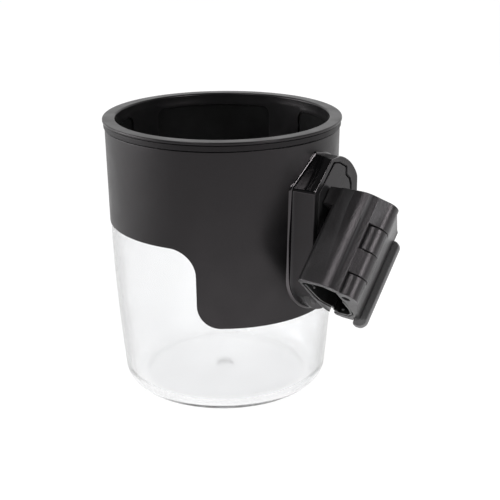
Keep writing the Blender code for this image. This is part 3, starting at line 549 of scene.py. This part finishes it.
def make_clear_cup():
    """Clear cup with a rounded base, a soft inner corner and a moulding gate ring."""
    fillet = 7.0
    inner_fillet = 6.0
    hollow = 0.35                # rise of the base inside its foot ring
    step_z = SLEEVE_HIGH.z - 0.4
    step_r = SLEEVE_EDGE_R - 1.4
    lip_z = RIM_TOP - 1.8
    neck_r = LINER_R + SEAM
    base_r = clear_radius(fillet) - fillet
    profile = [(0.0, hollow), (base_r - 3.2, hollow), (base_r - 3.0, hollow), (base_r - 2.0, 0.0)]
    profile += [(base_r + x, y) for x, y in arc((0.0, fillet), fillet, -90.0, 0.0, 14)]
    profile += [(clear_radius(z), z) for z in spaced(fillet, step_z, 30)[1:]]
    profile += [(step_r, step_z), (step_r, lip_z), (neck_r, lip_z), (neck_r, LINER_LOW.z)]
    wall_top_z = LINER_LOW.z - 4.0
    fillet_z = FLOOR_TOP_Z + inner_fillet
    profile += [(clear_radius(z) - CLEAR_WALL, z) for z in spaced(wall_top_z, fillet_z, 20)]
    corner_r = clear_radius(fillet_z) - CLEAR_WALL - inner_fillet
    corner = arc((0.0, fillet_z), inner_fillet, 0.0, -90.0, 12)[1:]
    profile += [(corner_r + x, y) for x, y in corner]
    gate_z = FLOOR_TOP_Z - 0.7
    profile += [(GATE_R + 0.6, FLOOR_TOP_Z), (GATE_R + 0.3, FLOOR_TOP_Z)]
    profile += [(GATE_R - 0.1, gate_z), (GATE_R - 0.6, gate_z), (0.0, FLOOR_TOP_Z - 0.4)]
    piece = make_piece("clear_cup_shell", *turned(profile), smooth_angle=50.0)
    finish_piece(piece, "cup", "clear_plastic", MATERIALS["clear_plastic"], "clear_cup")


def spaced(start, end, steps):
    """Evenly spaced values, both ends included."""
    return [start + (end - start) * k / steps for k in range(steps + 1)]


def half_edge():
    """Sleeve's lower edge, unrolled, from the back to the middle of the skirt.

    Each entry is (x, z, nx, nz): arc length from +X, height, and the direction into the wall."""
    low_z = SLEEVE_LOW.z
    corner_x = -math.radians(SKIRT_HALF_ANGLE) * EDGE_ARC_R
    top_x, top_z = corner_x - SKIRT_TOP_FILLET, SLEEVE_EDGE_Z - SKIRT_TOP_FILLET
    foot_x, foot_z = corner_x + SKIRT_LOW_FILLET, low_z + SKIRT_LOW_FILLET
    edge = [(x, SLEEVE_EDGE_Z, 0.0, 1.0) for x in spaced(-math.pi * EDGE_ARC_R, top_x, 44)]
    for turn in spaced(0.0, math.pi / 2.0, 16)[1:]:
        nx, nz = math.sin(turn), math.cos(turn)
        edge.append((top_x + SKIRT_TOP_FILLET * nx, top_z + SKIRT_TOP_FILLET * nz, nx, nz))
    edge += [(corner_x, z, 1.0, 0.0) for z in spaced(top_z, foot_z, 9)[1:]]
    for turn in spaced(0.0, math.pi / 2.0, 14)[1:]:
        nx, nz = math.cos(turn), math.sin(turn)
        edge.append((foot_x - SKIRT_LOW_FILLET * nx, foot_z - SKIRT_LOW_FILLET * nz, nx, nz))
    edge += [(x, low_z, 0.0, 1.0) for x in spaced(foot_x, 0.0, 22)[1:]]
    return edge


def fanned_tops(edge):
    """Where each line from the edge meets the sleeve's top, so that no two lines cross."""
    start = next(k for k, (x, z, nx, nz) in enumerate(edge) if z < SLEEVE_EDGE_Z - 1e-6) - 1
    lengths = [0.0]
    for (x1, z1, _, _), (x2, z2, _, _) in zip(edge[start:], edge[start + 1:]):
        lengths.append(lengths[-1] + math.hypot(x2 - x1, z2 - z1))
    x_start = edge[start][0]
    tops = [x for x, z, nx, nz in edge[:start]]
    tops += [x_start * (1.0 - length / lengths[-1]) for length in lengths]
    return tops


def make_sleeve():
    """Black sleeve: a thin skin over the clear wall, with a rounded S-curved lower edge."""
    half = half_edge()
    tops = fanned_tops(half)
    lines = [(x, z, nx, nz, top) for (x, z, nx, nz), top in zip(half, tops)]
    lines += [(-x, z, -nx, nz, -top) for x, z, nx, nz, top in reversed(lines[1:-1])]
    columns = [sleeve_column(*line) for line in lines]
    piece = make_piece("sleeve_shell", *column_solid(columns), smooth_angle=60.0)
    finish_piece(piece, "cup", "sleeve_plastic", MATERIALS["sleeve_plastic"], "outer_sleeve")


def sleeve_column(x, z, nx, nz, top_x):
    """One line of the sleeve: up its outside, over the top and down its inside."""
    soft = 0.3
    skin = SLEEVE_PROUD - 0.06
    top_z = SLEEVE_HIGH.z
    outside = []
    turns = spaced(0.0, math.pi / 2.0, 3)
    for turn in turns:
        into = soft * (1.0 - math.sin(turn))
        back = soft * (1.0 - math.cos(turn))
        outside.append((x + nx * back, z + nz * back, -into))
    low_x, low_z, _ = outside[-1]
    for share in spaced(0.0, 1.0, 15)[1:-1]:
        outside.append((low_x + (top_x - low_x) * share, low_z + (top_z - soft - low_z) * share, 0.0))
    for turn in turns:
        outside.append((top_x, top_z - soft * (1.0 - math.sin(turn)), -soft * (1.0 - math.cos(turn))))
    inside = [(top_x, top_z), ((low_x + top_x) / 2.0, (low_z + top_z) / 2.0), (x, z)]
    column = [cup_point(px, pz, sleeve_radius(pz) + proud) for px, pz, proud in outside]
    column += [cup_point(px, pz, sleeve_radius(pz) - skin) for px, pz in inside]
    return column


def cup_point(x, z, radius):
    """Point from its arc length round the cup, its height and its distance from the axis."""
    angle = x / EDGE_ARC_R
    return (radius * math.cos(angle), radius * math.sin(angle), z)


def make_rim():
    """Grip liner: rounded rim flange over a thin wall with four windows."""
    bottom = TRIM_HIGH.z + SEAM
    low_soft, top_soft, mouth_soft = 0.15, 0.5, 0.8
    lip_z = RIM_TOP - 3.2
    crown = (RIM_R + MOUTH_R) / 2.0
    low_arc = arc((-low_soft, bottom + low_soft), low_soft, -90.0, 0.0, 3)
    top_arc = arc((-top_soft, RIM_TOP - top_soft), top_soft, 0.0, 80.0, 5)
    mouth_arc = arc((mouth_soft, RIM_TOP - mouth_soft), mouth_soft, 95.0, 180.0, 6)
    profile = [(LINER_INNER_R, LINER_LOW.z), (LINER_R, LINER_LOW.z), (LINER_R, bottom)]
    profile += [(RIM_R + x, z) for x, z in low_arc + top_arc]
    profile += [(crown + 1.0, RIM_TOP), (crown - 1.0, RIM_TOP)]
    profile += [(MOUTH_R + x, z) for x, z in mouth_arc]
    profile += [(MOUTH_R, lip_z), (LINER_INNER_R, lip_z - 0.5)]
    rim = make_piece("rim_and_liner", *turned(profile), smooth_angle=50.0)
    windows = [window_block(k) for k in range(WINDOW_COUNT)]
    combine(rim, windows, "DIFFERENCE", 40.0)
    finish_piece(rim, "cup", "rim_plastic", MATERIALS["rim_plastic"], "grip_liner")


def window_middle(k):
    """Angle of a window's middle from +X, in radians."""
    return math.radians(45.0 + 360.0 / WINDOW_COUNT * k)


def window_block(k):
    """Cutter of one window in the liner's wall."""
    points, faces = bent_slab(0.0, 3.4, LINER_R - 4.0, LINER_R + 1.0, window_middle(k))
    return make_piece(f"window_{k + 1}", points, faces)


def bent_slab(shrink, corner_r, inner, outer, middle):
    """Slab bent round the Z axis, as high and wide as a window less shrink, with round corners."""
    half = math.radians(WINDOW_ANGLE / 2.0) * LINER_R - shrink
    low = WINDOW_LOW_Z + shrink
    high = WINDOW_HIGH_Z - shrink
    turns = spaced(0.0, math.pi / 2.0, 8)[:-1]
    places = [-half + corner_r * (1.0 - math.cos(turn)) for turn in turns]
    ends = [-x for x in reversed(places)]
    places += spaced(-half + corner_r, half - corner_r, 40) + ends
    columns = []
    for x in places:
        past = max(abs(x) - (half - corner_r), 0.0)
        draw = corner_r - math.sqrt(max(corner_r ** 2 - past ** 2, 0.0))
        angle = middle + x / LINER_R
        spoke = (math.cos(angle), math.sin(angle))
        columns.append([(r * spoke[0], r * spoke[1], z)
                        for r, z in ((inner, low + draw), (outer, low + draw),
                                     (outer, high - draw), (inner, high - draw))])
    return ruled(columns)


def make_grip_pads():
    """Soft pads behind the windows, with their edges eased."""
    for k in range(WINDOW_COUNT):
        slab = bent_slab(SEAM, 3.1, LINER_R - 0.6, LINER_R, window_middle(k))
        pad = make_piece(f"grip_pad_face_{k + 1}", *slab)
        soften_edges(pad, 0.12)
        finish_piece(pad, "cup", "soft_rubber", MATERIALS["soft_rubber"], f"grip_pad_{k + 1}")


def soften_edges(piece, width):
    """Round a piece's sharp edges with a bevel."""
    step = piece.modifiers.new("soft_edges", "BEVEL")
    step.width = width * MM
    step.segments = 2
    step.limit_method = "ANGLE"
    step.angle_limit = math.radians(40.0)
    step.harden_normals = True


def make_trim_ring():
    """Band under the rim, with both its outer edges eased."""
    low, high = TRIM_LOW.z, TRIM_HIGH.z
    radius = TRIM_HIGH.x
    inner = SLEEVE_EDGE_R - 0.9
    low_soft, top_soft = 0.3, 0.25
    profile = [(inner, low)]
    profile += arc((radius - low_soft, low + low_soft), low_soft, -90.0, 0.0, 4)
    profile += arc((radius - top_soft, high - top_soft), top_soft, 0.0, 90.0, 4)
    profile += [(inner, high)]
    piece = make_piece("trim_band", *turned(profile), smooth_angle=50.0)
    finish_piece(piece, "cup", "trim_plastic", MATERIALS["trim_plastic"], "trim_ring")


# Receiver

def block_outline(grow=0.0):
    """Receiver seen from +X as (y, z): bevelled left shoulder, round right corner and foot."""
    half = BLOCK_HALF + grow
    bevel = grow * 0.414
    outline = arc((0.0, BLOCK_LOW_ARC_Z), half, 180.0, 360.0, 48)
    outline += arc(RIGHT_ARC, half - RIGHT_ARC[0], 0.0, 32.4, 8)
    outline += arc(CROWN_ARC, CROWN_R + grow, 34.0, 84.0, 20)
    ridge = softened([(-1.0, BLOCK_TOP_Z + 0.2 + grow, 0.0),
                      (-3.6 - bevel, BLOCK_TOP_Z + 0.05 + grow, max(0.8 + grow, 0.1)),
                      (0.5 - half, 96.4 + bevel, max(2.4 + grow, 0.1)), (-half, 92.5, 0.0)], 8)
    outline += ridge[1:-1]
    return outline


def drafted(y, x):
    """Y of a receiver point at a given X, with the left side drawn in towards the face."""
    drawn = BLOCK_DRAFT * (x - BLOCK_BACK_X) / (FACE_X - BLOCK_BACK_X)
    return y + (BLOCK_HALF - y) * drawn / (2.0 * BLOCK_HALF)


def sloped(z, x):
    """Z of a receiver point at a given X, with the ridge lower towards the face."""
    share = (x - BLOCK_BACK_X) / (FACE_X - BLOCK_BACK_X)
    return z + max(z - RIDGE_FOOT_Z, 0.0) * RIDGE_SLOPE * (1.0 - 2.0 * share)


def on_cup(y, z, proud):
    """X of a point a given distance outside the sleeve."""
    return math.sqrt((sleeve_radius(z) + proud) ** 2 - y ** 2)


def make_saddle():
    """Curved flange round the receiver's foot, with a rounded lip."""
    soft = 0.75
    lip = 0.8                    # how far it reaches past the receiver's outline
    inward = -1.5
    seat = 0.05                  # gap between it and the sleeve
    rows = [(lip, seat)]
    for turn in spaced(0.0, math.pi / 2.0, 5):
        rows.append((lip - soft * (1.0 - math.cos(turn)), SADDLE_PROUD - soft * (1.0 - math.sin(turn))))
    rows += [(inward, SADDLE_PROUD), (inward, seat)]
    columns = []
    for grow, proud in rows:
        loop = []
        for y, z in block_outline(grow):
            x = on_cup(y, z, proud)
            loop.append((x, drafted(y, x), z))
        columns.append(loop)
    piece = make_piece("saddle_flange", *column_solid(columns), smooth_angle=50.0)
    # the saddle takes the glossy copy, whose darker tone is painted shade
    finish_piece(piece, "cup", "sleeve_plastic", MATERIALS["housing_gloss_and_painted_shade"], "mount_saddle")


def slot_corners(shrink, bottom):
    """Corners of the slot's outline as (y, z, radius)."""
    half = 11.9 - shrink
    top = 105.2 - shrink
    slant = shrink * 0.4
    return [
        (-half, bottom, 0.0),
        (half, bottom, 0.0),
        (half - 0.2, 94.0 - slant, 2.0),
        (half - 1.2, 96.6 - slant, 1.0),
        (half - 3.8, 98.8 - slant, 0.8),
        (half - 3.8, 102.1 - slant, 1.3),
        (half - 8.6, 104.7 - slant, 6.0),
        (-half + 10.6 + slant, top + 0.4, 1.0),
        (-half, 95.2 - slant, 1.0),
    ]


def make_receiver():
    """Receiver block with rounded front edges, and its slot and cavity open below."""
    soft = 0.7
    levels = [(x, 0.0) for x in spaced(BLOCK_BACK_X, FACE_X - soft, 8)[:-1]]
    for turn in spaced(0.0, math.pi / 2.0, 5):
        levels.append((FACE_X - soft * (1.0 - math.sin(turn)), soft * (1.0 - math.cos(turn))))
    rows = [[(x, drafted(y, x), sloped(z, x)) for y, z in block_outline(-draw)] for x, draw in levels]
    block = make_piece("receiver_block", *ruled(rows), smooth_angle=30.0)
    combine(block, [cup_core(), cavity_cutter(), slot_cutter()], "DIFFERENCE", 30.0)
    finish_piece(block, "cup", "housing_plastic", MATERIALS["housing_plastic"], "receiver_housing")
    # faces turned up and to the left get the glossy copy, whose darker tone is painted shade
    block.data.materials.append(MATERIALS["housing_gloss_and_painted_shade"])
    for face in block.data.polygons:
        if face.normal.dot(SHOULDER_FACING) > SHOULDER_SPREAD and face.center.z > SHOULDER_LOW_Z * MM:
            face.material_index = 1


def cup_core():
    """Cutter as wide as the sleeve and a gap beyond it."""
    low_z, high_z = 20.0, 130.0
    gap = SADDLE_PROUD + 0.1
    core = [(0.0, low_z)]
    core += [(sleeve_radius(z) + gap, z) for z in spaced(low_z, high_z, 22)]
    core.append((0.0, high_z))
    return make_piece("cup_core", *turned(core))


def cavity_cutter():
    """Cutter of the room behind the slot's lips, open at the receiver's foot."""
    cavity = [(-14.0, OPEN_FOOT_Z), (14.0, OPEN_FOOT_Z), (14.0, 94.0), (8.0, 102.4), (4.0, 105.4),
              (-4.5, 105.4), (-14.0, 96.6)]
    return make_piece("cavity", *ruled([[(x, y, z) for y, z in cavity] for x in CAVITY_X]))


def slot_cutter():
    """Cutter of the stepped arch in the receiver's face, with its mouth eased."""
    levels = ((54.0, 0.0), (FACE_X - 0.35, 0.0), (FACE_X + 0.05, SLOT_EASE), (FACE_X + 3.0, SLOT_EASE))
    loops = []
    for x, grow in levels:
        loops.append([(x, y, z) for y, z in softened(slot_corners(-grow, OPEN_FOOT_Z), 5)])
    return make_piece("slot", *ruled(loops))


def make_receiver_screws():
    """Pan-head screws with a cross recess, from the receiver's cavity into the sleeve's bosses."""
    head_share = 0.76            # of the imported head's radius, to stay clear of the shoulder
    head_height = 1.4
    for k in range(RECEIVER_SCREWS):
        node = f"receiver_screw_{k + 1}"
        low, high = node_box(node)
        y, z = (low.y + high.y) / 2.0, (low.z + high.z) / 2.0
        start, end = Vector((low.x, y, z)), Vector((high.x, y, z))
        head_r = (high.y - low.y) / 2.0 * head_share
        screw = make_piece(f"receiver_screw_body_{k + 1}", *rod(start, end, head_r * 0.5, 32, 0.3))
        head = make_piece("head", *rod(end - CLIP_U * head_height, end, head_r, 40, 0.45))
        combine(screw, [head], "UNION")
        combine(screw, cross_recess(end), "DIFFERENCE")
        finish_piece(screw, "cup", "zinc_steel", MATERIALS["zinc_steel"], node)


def cross_recess(top):
    """Two cutters that make the driver's cross in the top of a screw's head."""
    reach, half, depth = 1.0, 0.28, 0.7
    arms = []
    for dy, dz in ((reach, half), (half, reach)):
        corners = [(top.y - dy, top.z - dz), (top.y + dy, top.z - dz),
                   (top.y + dy, top.z + dz), (top.y - dy, top.z + dz)]
        loops = [[(x, y, z) for y, z in corners] for x in (top.x - depth, top.x + 1.0)]
        arms.append(make_piece("recess", *ruled(loops)))
    return arms


def make_tongue():
    """Tongue: its wide back behind the receiver's lips and its face in the slot."""
    back = [(-13.7, TONGUE_FOOT_Z), (13.7, TONGUE_FOOT_Z), (13.7, 93.9), (7.9, 102.1), (3.9, 105.0),
            (-4.4, 105.0), (-13.7, 96.3)]
    tongue = make_piece("tongue_back", *rounded_prism(face_point, back, *TONGUE_BACK_X, 0.2))
    outline = softened(slot_corners(0.6, TONGUE_FOOT_Z), 5)
    face = make_piece("tongue_face", *rounded_prism(face_point, outline, *TONGUE_FACE_X, 0.3))
    combine(tongue, [face], "UNION")
    bore = swivel_rod("bore", 50.0, 60.0, SWIVEL_BORE_R)
    seat = swivel_rod("seat", 56.0, 60.0, 3.8)
    nut_seat = swivel_rod("nut_seat", 50.0, 54.4, 3.6)
    combine(tongue, [bore, seat, nut_seat], "DIFFERENCE")
    finish_piece(tongue, "tongue", "housing_plastic", MATERIALS["housing_plastic"], "tongue_plate")


# Clip

def hook_corners():
    """Inner side of the clip's section, from the hook's tip to under the top wall."""
    return [
        (2.7, 21.2, 0.5),
        (0.4, 19.6, 2.5),
        (-1.45, 16.2, 5.0),
        (-1.5, 12.0, 6.0),
        (-1.3, 0.5, 1.0),
        (7.4, -0.9, 3.0),
        (9.4, -0.6, 2.0),
    ]


def back_corners():
    """Outer side of the section: bend of the top wall, corner, bowed back wall and hook."""
    return [
        (12.0, -3.2, 9.0),
        (-2.6, -3.05, 3.9),
        (-2.55, 6.0, 20.0),
        (-3.2, 15.5, 30.0),
        (-2.8, 23.5, 12.0),
        (-2.2, 27.2, 1.6),
        (-0.6, 27.2, 0.5),
    ]


def plate_outline():
    """Section where the jaw's knuckles are: the top wall ends at their pocket."""
    pocket = arc(HINGE_UV, POCKET_R, 234.0, 264.5, 8)
    corners = hook_corners() + [(u, v, 0.0) for u, v in pocket]
    corners += [(pocket[-1][0], -0.31, 0.45)] + back_corners()
    return softened(corners, 8)


def barrel_outline():
    """Section of the body's own knuckles, a hair inside the plate where they overlap."""
    hair = 0.01
    outline = arc(HINGE_UV, BARREL_R, BARREL_FLAT_TURN, BARREL_END_TURN, 40)
    outline += [(12.9, -2.34 + hair), (11.6, -2.72 + hair), (11.0, -1.9), (BARREL_FLAT_U, 2.6)]
    return outline


def make_clip_body():
    """Fixed half of the clip: walls, two knuckles and the neck on the tongue."""
    shell = rounded_prism(clip_point, plate_outline(), 0.0, CLIP_LENGTH, WALL_SOFT)
    body = make_piece("clip_body_shell", *shell)
    parts = []
    for low, high in BODY_KNUCKLES:
        start = low + KNUCKLE_GAP / 2.0
        end = high if high == CLIP_LENGTH else high - KNUCKLE_GAP / 2.0
        barrel = rounded_prism(clip_point, barrel_outline(), start, end, WALL_SOFT)
        parts.append(make_piece("knuckle", *barrel))
    parts.append(make_neck())
    combine(body, parts, "UNION", 40.0)
    cutters = [make_piece("bore", *pin_rod(-PAST_END, CLIP_LENGTH + PAST_END, PIN_BORE_R))]
    cutters.append(swivel_rod("neck_bore", 50.0, 70.0, SWIVEL_BORE_R))
    cutters.append(swivel_rod("head_seat", 60.0, 70.0, 3.2))
    combine(body, cutters, "DIFFERENCE", 40.0)
    finish_piece(body, "clip", "clip_plastic", MATERIALS["clip_plastic"], "clip_body")


def make_neck():
    """Neck from the clip's upper end back to the tongue."""
    root_u = FACE_X + SEAM - CLIP_CORNER.x
    low_w = 32.9
    outline = softened([(root_u, -2.5, 0.7), (6.0, -3.17, 0.0), (6.0, -1.6, 0.0), (-1.6, -1.2, 0.0),
                        (-1.6, 16.7, 0.0), (root_u, 16.7, 0.7)], 5)
    return make_piece("neck", *rounded_prism(clip_point, outline, low_w, CLIP_LENGTH - 0.1, 0.5))


def swivel_rod(name, start_x, end_x, radius):
    """Round cutter on the swivel's axis between two X values."""
    start, end = Vector((start_x, 0.0, SWIVEL.z)), Vector((end_x, 0.0, SWIVEL.z))
    return make_piece(name, *rod(start, end, radius))


def pin_rod(start, end, radius):
    """Round bar on the hinge's axis between two W values."""
    return rod(clip_point(*HINGE_UV, start), clip_point(*HINGE_UV, end), radius, 64, 0.1)


def jaw_corners():
    """Jaw's section: wedge-shaped wall from the hinge, notch for the pull tab, and lip."""
    hinge_u, hinge_v = HINGE_UV
    notch_u = TAB_U[0] - KNUCKLE_GAP
    return [
        (hinge_u + BARREL_R, hinge_v + 0.2, 0.0),
        (14.1, 25.0, 2.0),
        (13.6, 27.2, 0.4),
        (notch_u, 27.2, 0.4),
        (notch_u, 29.4, 1.2),
        (8.6, 31.0, 1.6),
        (4.0, 31.0, 3.5),
        (0.8, 29.7, 1.2),
        (1.0, LIP_INNER_V, 0.6),
        (8.3, LIP_INNER_V, 1.6),
        (12.2, 23.3, 2.5),
        (13.45, 12.0, 9.0),
        (13.4, hinge_v + 0.4, 0.0),
        (hinge_u, hinge_v, 0.0),
    ]


def make_clip_jaw():
    """Hinged half: its wall and lip with two knuckles, bored for the pin and the spring."""
    shell = rounded_prism(clip_point, softened(jaw_corners(), 8), 0.2, CLIP_LENGTH - 0.9, 0.35)
    jaw = make_piece("clip_jaw_shell", *shell)
    room_gap = KNUCKLE_GAP / 2.0 + 0.02
    pockets = []
    for low, high in ((KNUCKLE_EDGES[0], KNUCKLE_EDGES[1]), (KNUCKLE_EDGES[2], CLIP_LENGTH + PAST_END)):
        pockets.append(make_piece("pocket", *pin_rod(low - room_gap, high + room_gap, POCKET_R)))
    combine(jaw, pockets, "DIFFERENCE")
    knuckles = []
    round_side = arc(HINGE_UV, BARREL_R - 0.05, -BARREL_FLAT_TURN, BARREL_FLAT_TURN, 60)
    for low, high in JAW_KNUCKLES:
        ends = (low + KNUCKLE_GAP / 2.0, high - KNUCKLE_GAP / 2.0)
        barrel = rounded_prism(clip_point, round_side, *ends, WALL_SOFT)
        knuckles.append(make_piece("knuckle", *barrel))
    combine(jaw, knuckles, "UNION")
    bore = make_piece("bore", *pin_rod(-PAST_END, CLIP_LENGTH + PAST_END, PIN_BORE_R))
    spring_room = make_piece("spring_room", *pin_rod(19.9, KNUCKLE_EDGES[2] + 1.0, 3.3))
    combine(jaw, [bore, spring_room], "DIFFERENCE")
    finish_piece(jaw, "jaw", "clip_plastic", MATERIALS["clip_plastic"], "clip_jaw")


def make_pull_tab():
    """Plate under the jaw's lip, with full round corners and eased edges."""
    (u0, u1), (w0, w1) = TAB_U, TAB_W
    corners = [(u0, w0, 1.6), (u1, w0, 3.0), (u1, w1, 3.0), (u0, w1, 1.6)]

    def place(u, w, v):
        return clip_point(u, v, w)

    tab = make_piece("pull_tab_plate", *rounded_prism(place, softened(corners, 10), *TAB_V, 0.45, 4))
    cutters = []
    for w in TAB_SCREW_W:
        for name, start_v, radius in (("hole", 25.0, 1.1), ("seat", TAB_V[1] - 1.0, 1.5)):
            ends = [clip_point(TAB_SCREW_U, v, w) for v in (start_v, TAB_V[1] + 1.3)]
            cutters.append(make_piece(name, *rod(*ends, radius)))
    combine(tab, cutters, "DIFFERENCE")
    # the pull tab's pale tone is painted light
    finish_piece(tab, "jaw", "tab_plastic", MATERIALS["tab_plastic"], "pull_tab")


def make_pad(name, corners, rows, body, node):
    """Rubber lining with rows of domed nubs; a row is its place (u, v) and its facing (du, dv)."""
    pad = make_piece(name, *rounded_prism(clip_point, softened(corners, 4), 0.35, 39.5, 0.15))
    nubs = []
    for u, v, du, dv in rows:
        for k in range(NUB_COUNT):
            w = NUB_FIRST_W + NUB_PITCH * k
            foot = clip_point(u - du * 0.4, v - dv * 0.4, w)
            tip = clip_point(u + du * 0.7, v + dv * 0.7, w)
            nubs.append(make_piece("nub", *rod(foot, tip, 0.95, 24, 0.65)))
    combine(pad, nubs, "UNION")
    finish_piece(pad, body, "soft_rubber", MATERIALS["lining_rubber"], node)


def make_pads():
    """Linings of the back wall and of the jaw; both end in a bead at the mouth."""
    body_strip = [
        (-1.0, 2.4, 0.2), (-1.0, 7.0, 0.0), (-1.15, 13.0, 6.0), (-0.7, 17.2, 3.0), (0.65, 19.4, 1.5),
        (2.75, 20.95, 0.2), (2.95, 21.35, 0.0), (2.15, 22.85, 0.0), (2.95, 23.45, 0.3), (3.8, 21.6, 0.4),
        (3.8, 20.5, 0.5), (1.1, 18.6, 1.5), (0.15, 16.9, 2.0), (-0.25, 13.0, 6.0), (-0.1, 7.0, 0.0),
        (-0.1, 2.4, 0.2),
    ]
    body_rows = [(-0.1, 8.2, 1.0, 0.0), (0.6, 17.7, 0.87, -0.49)]
    make_pad("body_lining", body_strip, body_rows, "clip", "body_pad")
    foot = LIP_INNER_V - 0.3
    face = foot - 0.9
    jaw_strip = [
        (2.6, foot, 0.2), (2.2, 26.6, 0.2), (2.2, 24.1, 0.35), (3.3, 24.1, 0.35), (3.8, face, 0.3),
        (7.9, face, 1.0), (10.6, 23.4, 1.5), (11.8, 18.1, 4.0), (12.1, 11.4, 0.2), (13.0, 11.5, 0.2),
        (12.68, 18.2, 4.0), (11.5, 23.8, 1.5), (8.2, foot, 1.0),
    ]
    jaw_rows = [(5.3, face, 0.0, -1.0), (11.85, 17.0, -1.0, -0.1)]
    make_pad("jaw_lining", jaw_strip, jaw_rows, "jaw", "jaw_pad")


def keep_cad_nodes():
    """Swivel, tab screws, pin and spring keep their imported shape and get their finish."""
    slots = {sub["node"]: sub["material_slot"] for sub in frame["record"]["subparts"]}
    for name, node in frame["nodes"].items():
        if node.hide_render:
            continue
        node.data.materials.clear()
        node.data.materials.append(MATERIALS[slots[name]])


# Studio

def make_floor():
    """Pale floor sheet that curves up far behind the object; its sizes are metres."""
    front, back, height = -6.0, 2.5, 5.0
    width = 12.0
    bend = 1.5
    rows = [(front, 0.0), (back, 0.0)]
    rows += arc((back, bend), bend, -90.0, 0.0, 16)
    rows.append((back + bend, height))
    mesh = bpy.data.meshes.new("studio_sheet")
    points = [(side * width / 2.0, y, z) for y, z in rows for side in (-1.0, 1.0)]
    faces = [(2 * k, 2 * k + 1, 2 * k + 3, 2 * k + 2) for k in range(len(rows) - 1)]
    mesh.from_pydata(points, [], faces)
    mesh.shade_smooth()
    mesh.materials.append(floor_material())
    floor = bpy.data.objects.new("studio_sheet", mesh)
    floor.rotation_euler.z = VIEW_AZIMUTH
    bpy.context.scene.collection.objects.link(floor)


def make_camera():
    """Camera at the height, distance and bearing of the product view."""
    camera_data = bpy.data.cameras.new("view")
    camera_data.lens = CAMERA_LENS
    camera_data.sensor_width = 36.0
    camera_data.clip_start = 0.01
    camera = bpy.data.objects.new("view", camera_data)
    turn = Matrix.Rotation(VIEW_AZIMUTH, 3, "Z")
    forward = turn @ Vector((math.sin(CAMERA_PAN) * math.cos(CAMERA_PITCH),
                             math.cos(CAMERA_PAN) * math.cos(CAMERA_PITCH),
                             -math.sin(CAMERA_PITCH)))
    right = forward.cross(Vector((0.0, 0.0, 1.0))).normalized()
    up = right.cross(forward)
    rolled_right = right * math.cos(CAMERA_ROLL) + up * math.sin(CAMERA_ROLL)
    rolled_up = up * math.cos(CAMERA_ROLL) - right * math.sin(CAMERA_ROLL)
    pose = Matrix((rolled_right, rolled_up, -forward)).transposed().to_4x4()
    pose.translation = turn @ Vector((0.0, -CAMERA_REACH, CAMERA_HEIGHT))
    camera.matrix_world = pose
    bpy.context.scene.collection.objects.link(camera)
    bpy.context.scene.camera = camera


def make_light(name, azimuth, elevation, distance, size, power):
    """Softbox aimed at the cup; angles are degrees, from the camera's side, and lengths metres."""
    lamp = bpy.data.lights.new(name, "AREA")
    lamp.shape = "RECTANGLE"
    lamp.size, lamp.size_y = size
    lamp.energy = power
    light = bpy.data.objects.new(name, lamp)
    turn = VIEW_AZIMUTH + math.radians(azimuth)
    rise = math.radians(elevation)
    out = Vector((math.sin(turn) * math.cos(rise), -math.cos(turn) * math.cos(rise), math.sin(rise)))
    aim = Vector((0.0, 0.0, 0.06))
    light.location = aim + out * distance
    light.rotation_euler = out.to_track_quat("Z", "Y").to_euler()
    bpy.context.scene.collection.objects.link(light)


def make_studio():
    """Floor, camera, lights and surroundings."""
    make_floor()
    make_camera()
    make_light("left_softbox", -93.0, 9.0, 1.3, (1.0, 0.8), 19.0)
    make_light("right_softbox", 45.0, 29.0, 1.3, (0.2, 0.5), 7.5)
    make_light("top_softbox", -38.0, 58.0, 1.4, (0.4, 0.35), 6.0)
    make_world()
    bpy.context.scene.view_settings.view_transform = "Standard"


def make_world():
    """Surroundings: white behind the object, dim overhead and on the camera's side."""
    world = bpy.data.worlds.new("studio")
    world.use_nodes = True
    tree = world.node_tree
    toward = add(tree, "ShaderNodeVectorMath", operation="DOT_PRODUCT")
    toward.inputs[1].default_value = (-math.sin(VIEW_AZIMUTH), math.cos(VIEW_AZIMUTH), 0.0)
    direction = add(tree, "ShaderNodeTexCoord").outputs["Generated"]
    tree.links.new(direction, toward.inputs[0])
    behind = ramp(tree, toward.outputs["Value"], (-0.35, 0.3), (0.12, 1.0))
    height = add(tree, "ShaderNodeSeparateXYZ")
    tree.links.new(direction, height.inputs["Vector"])
    level = ramp(tree, height.outputs["Z"], (0.4, 0.62), (1.0, 0.1))
    product = add(tree, "ShaderNodeMath", operation="MULTIPLY")
    tree.links.new(behind, product.inputs[0])
    tree.links.new(level, product.inputs[1])
    tree.links.new(product.outputs["Value"], tree.nodes["Background"].inputs["Strength"])
    tree.nodes["Background"].inputs["Color"].default_value = (1.0, 1.0, 1.0, 1.0)
    bpy.context.scene.world = world


def ramp(tree, value, source, target):
    """Smooth change between two target values over a source range."""
    node = add(tree, "ShaderNodeMapRange", interpolation_type="SMOOTHSTEP")
    node.inputs["From Min"].default_value, node.inputs["From Max"].default_value = source
    node.inputs["To Min"].default_value, node.inputs["To Max"].default_value = target
    tree.links.new(value, node.inputs["Value"])
    return node.outputs["Result"]


def main():
    """Build every piece, then the studio."""
    make_clear_cup()
    make_sleeve()
    make_rim()
    make_grip_pads()
    make_trim_ring()
    make_saddle()
    make_receiver()
    make_receiver_screws()
    make_tongue()
    make_clip_body()
    make_clip_jaw()
    make_pull_tab()
    make_pads()
    keep_cad_nodes()
    make_studio()


main()
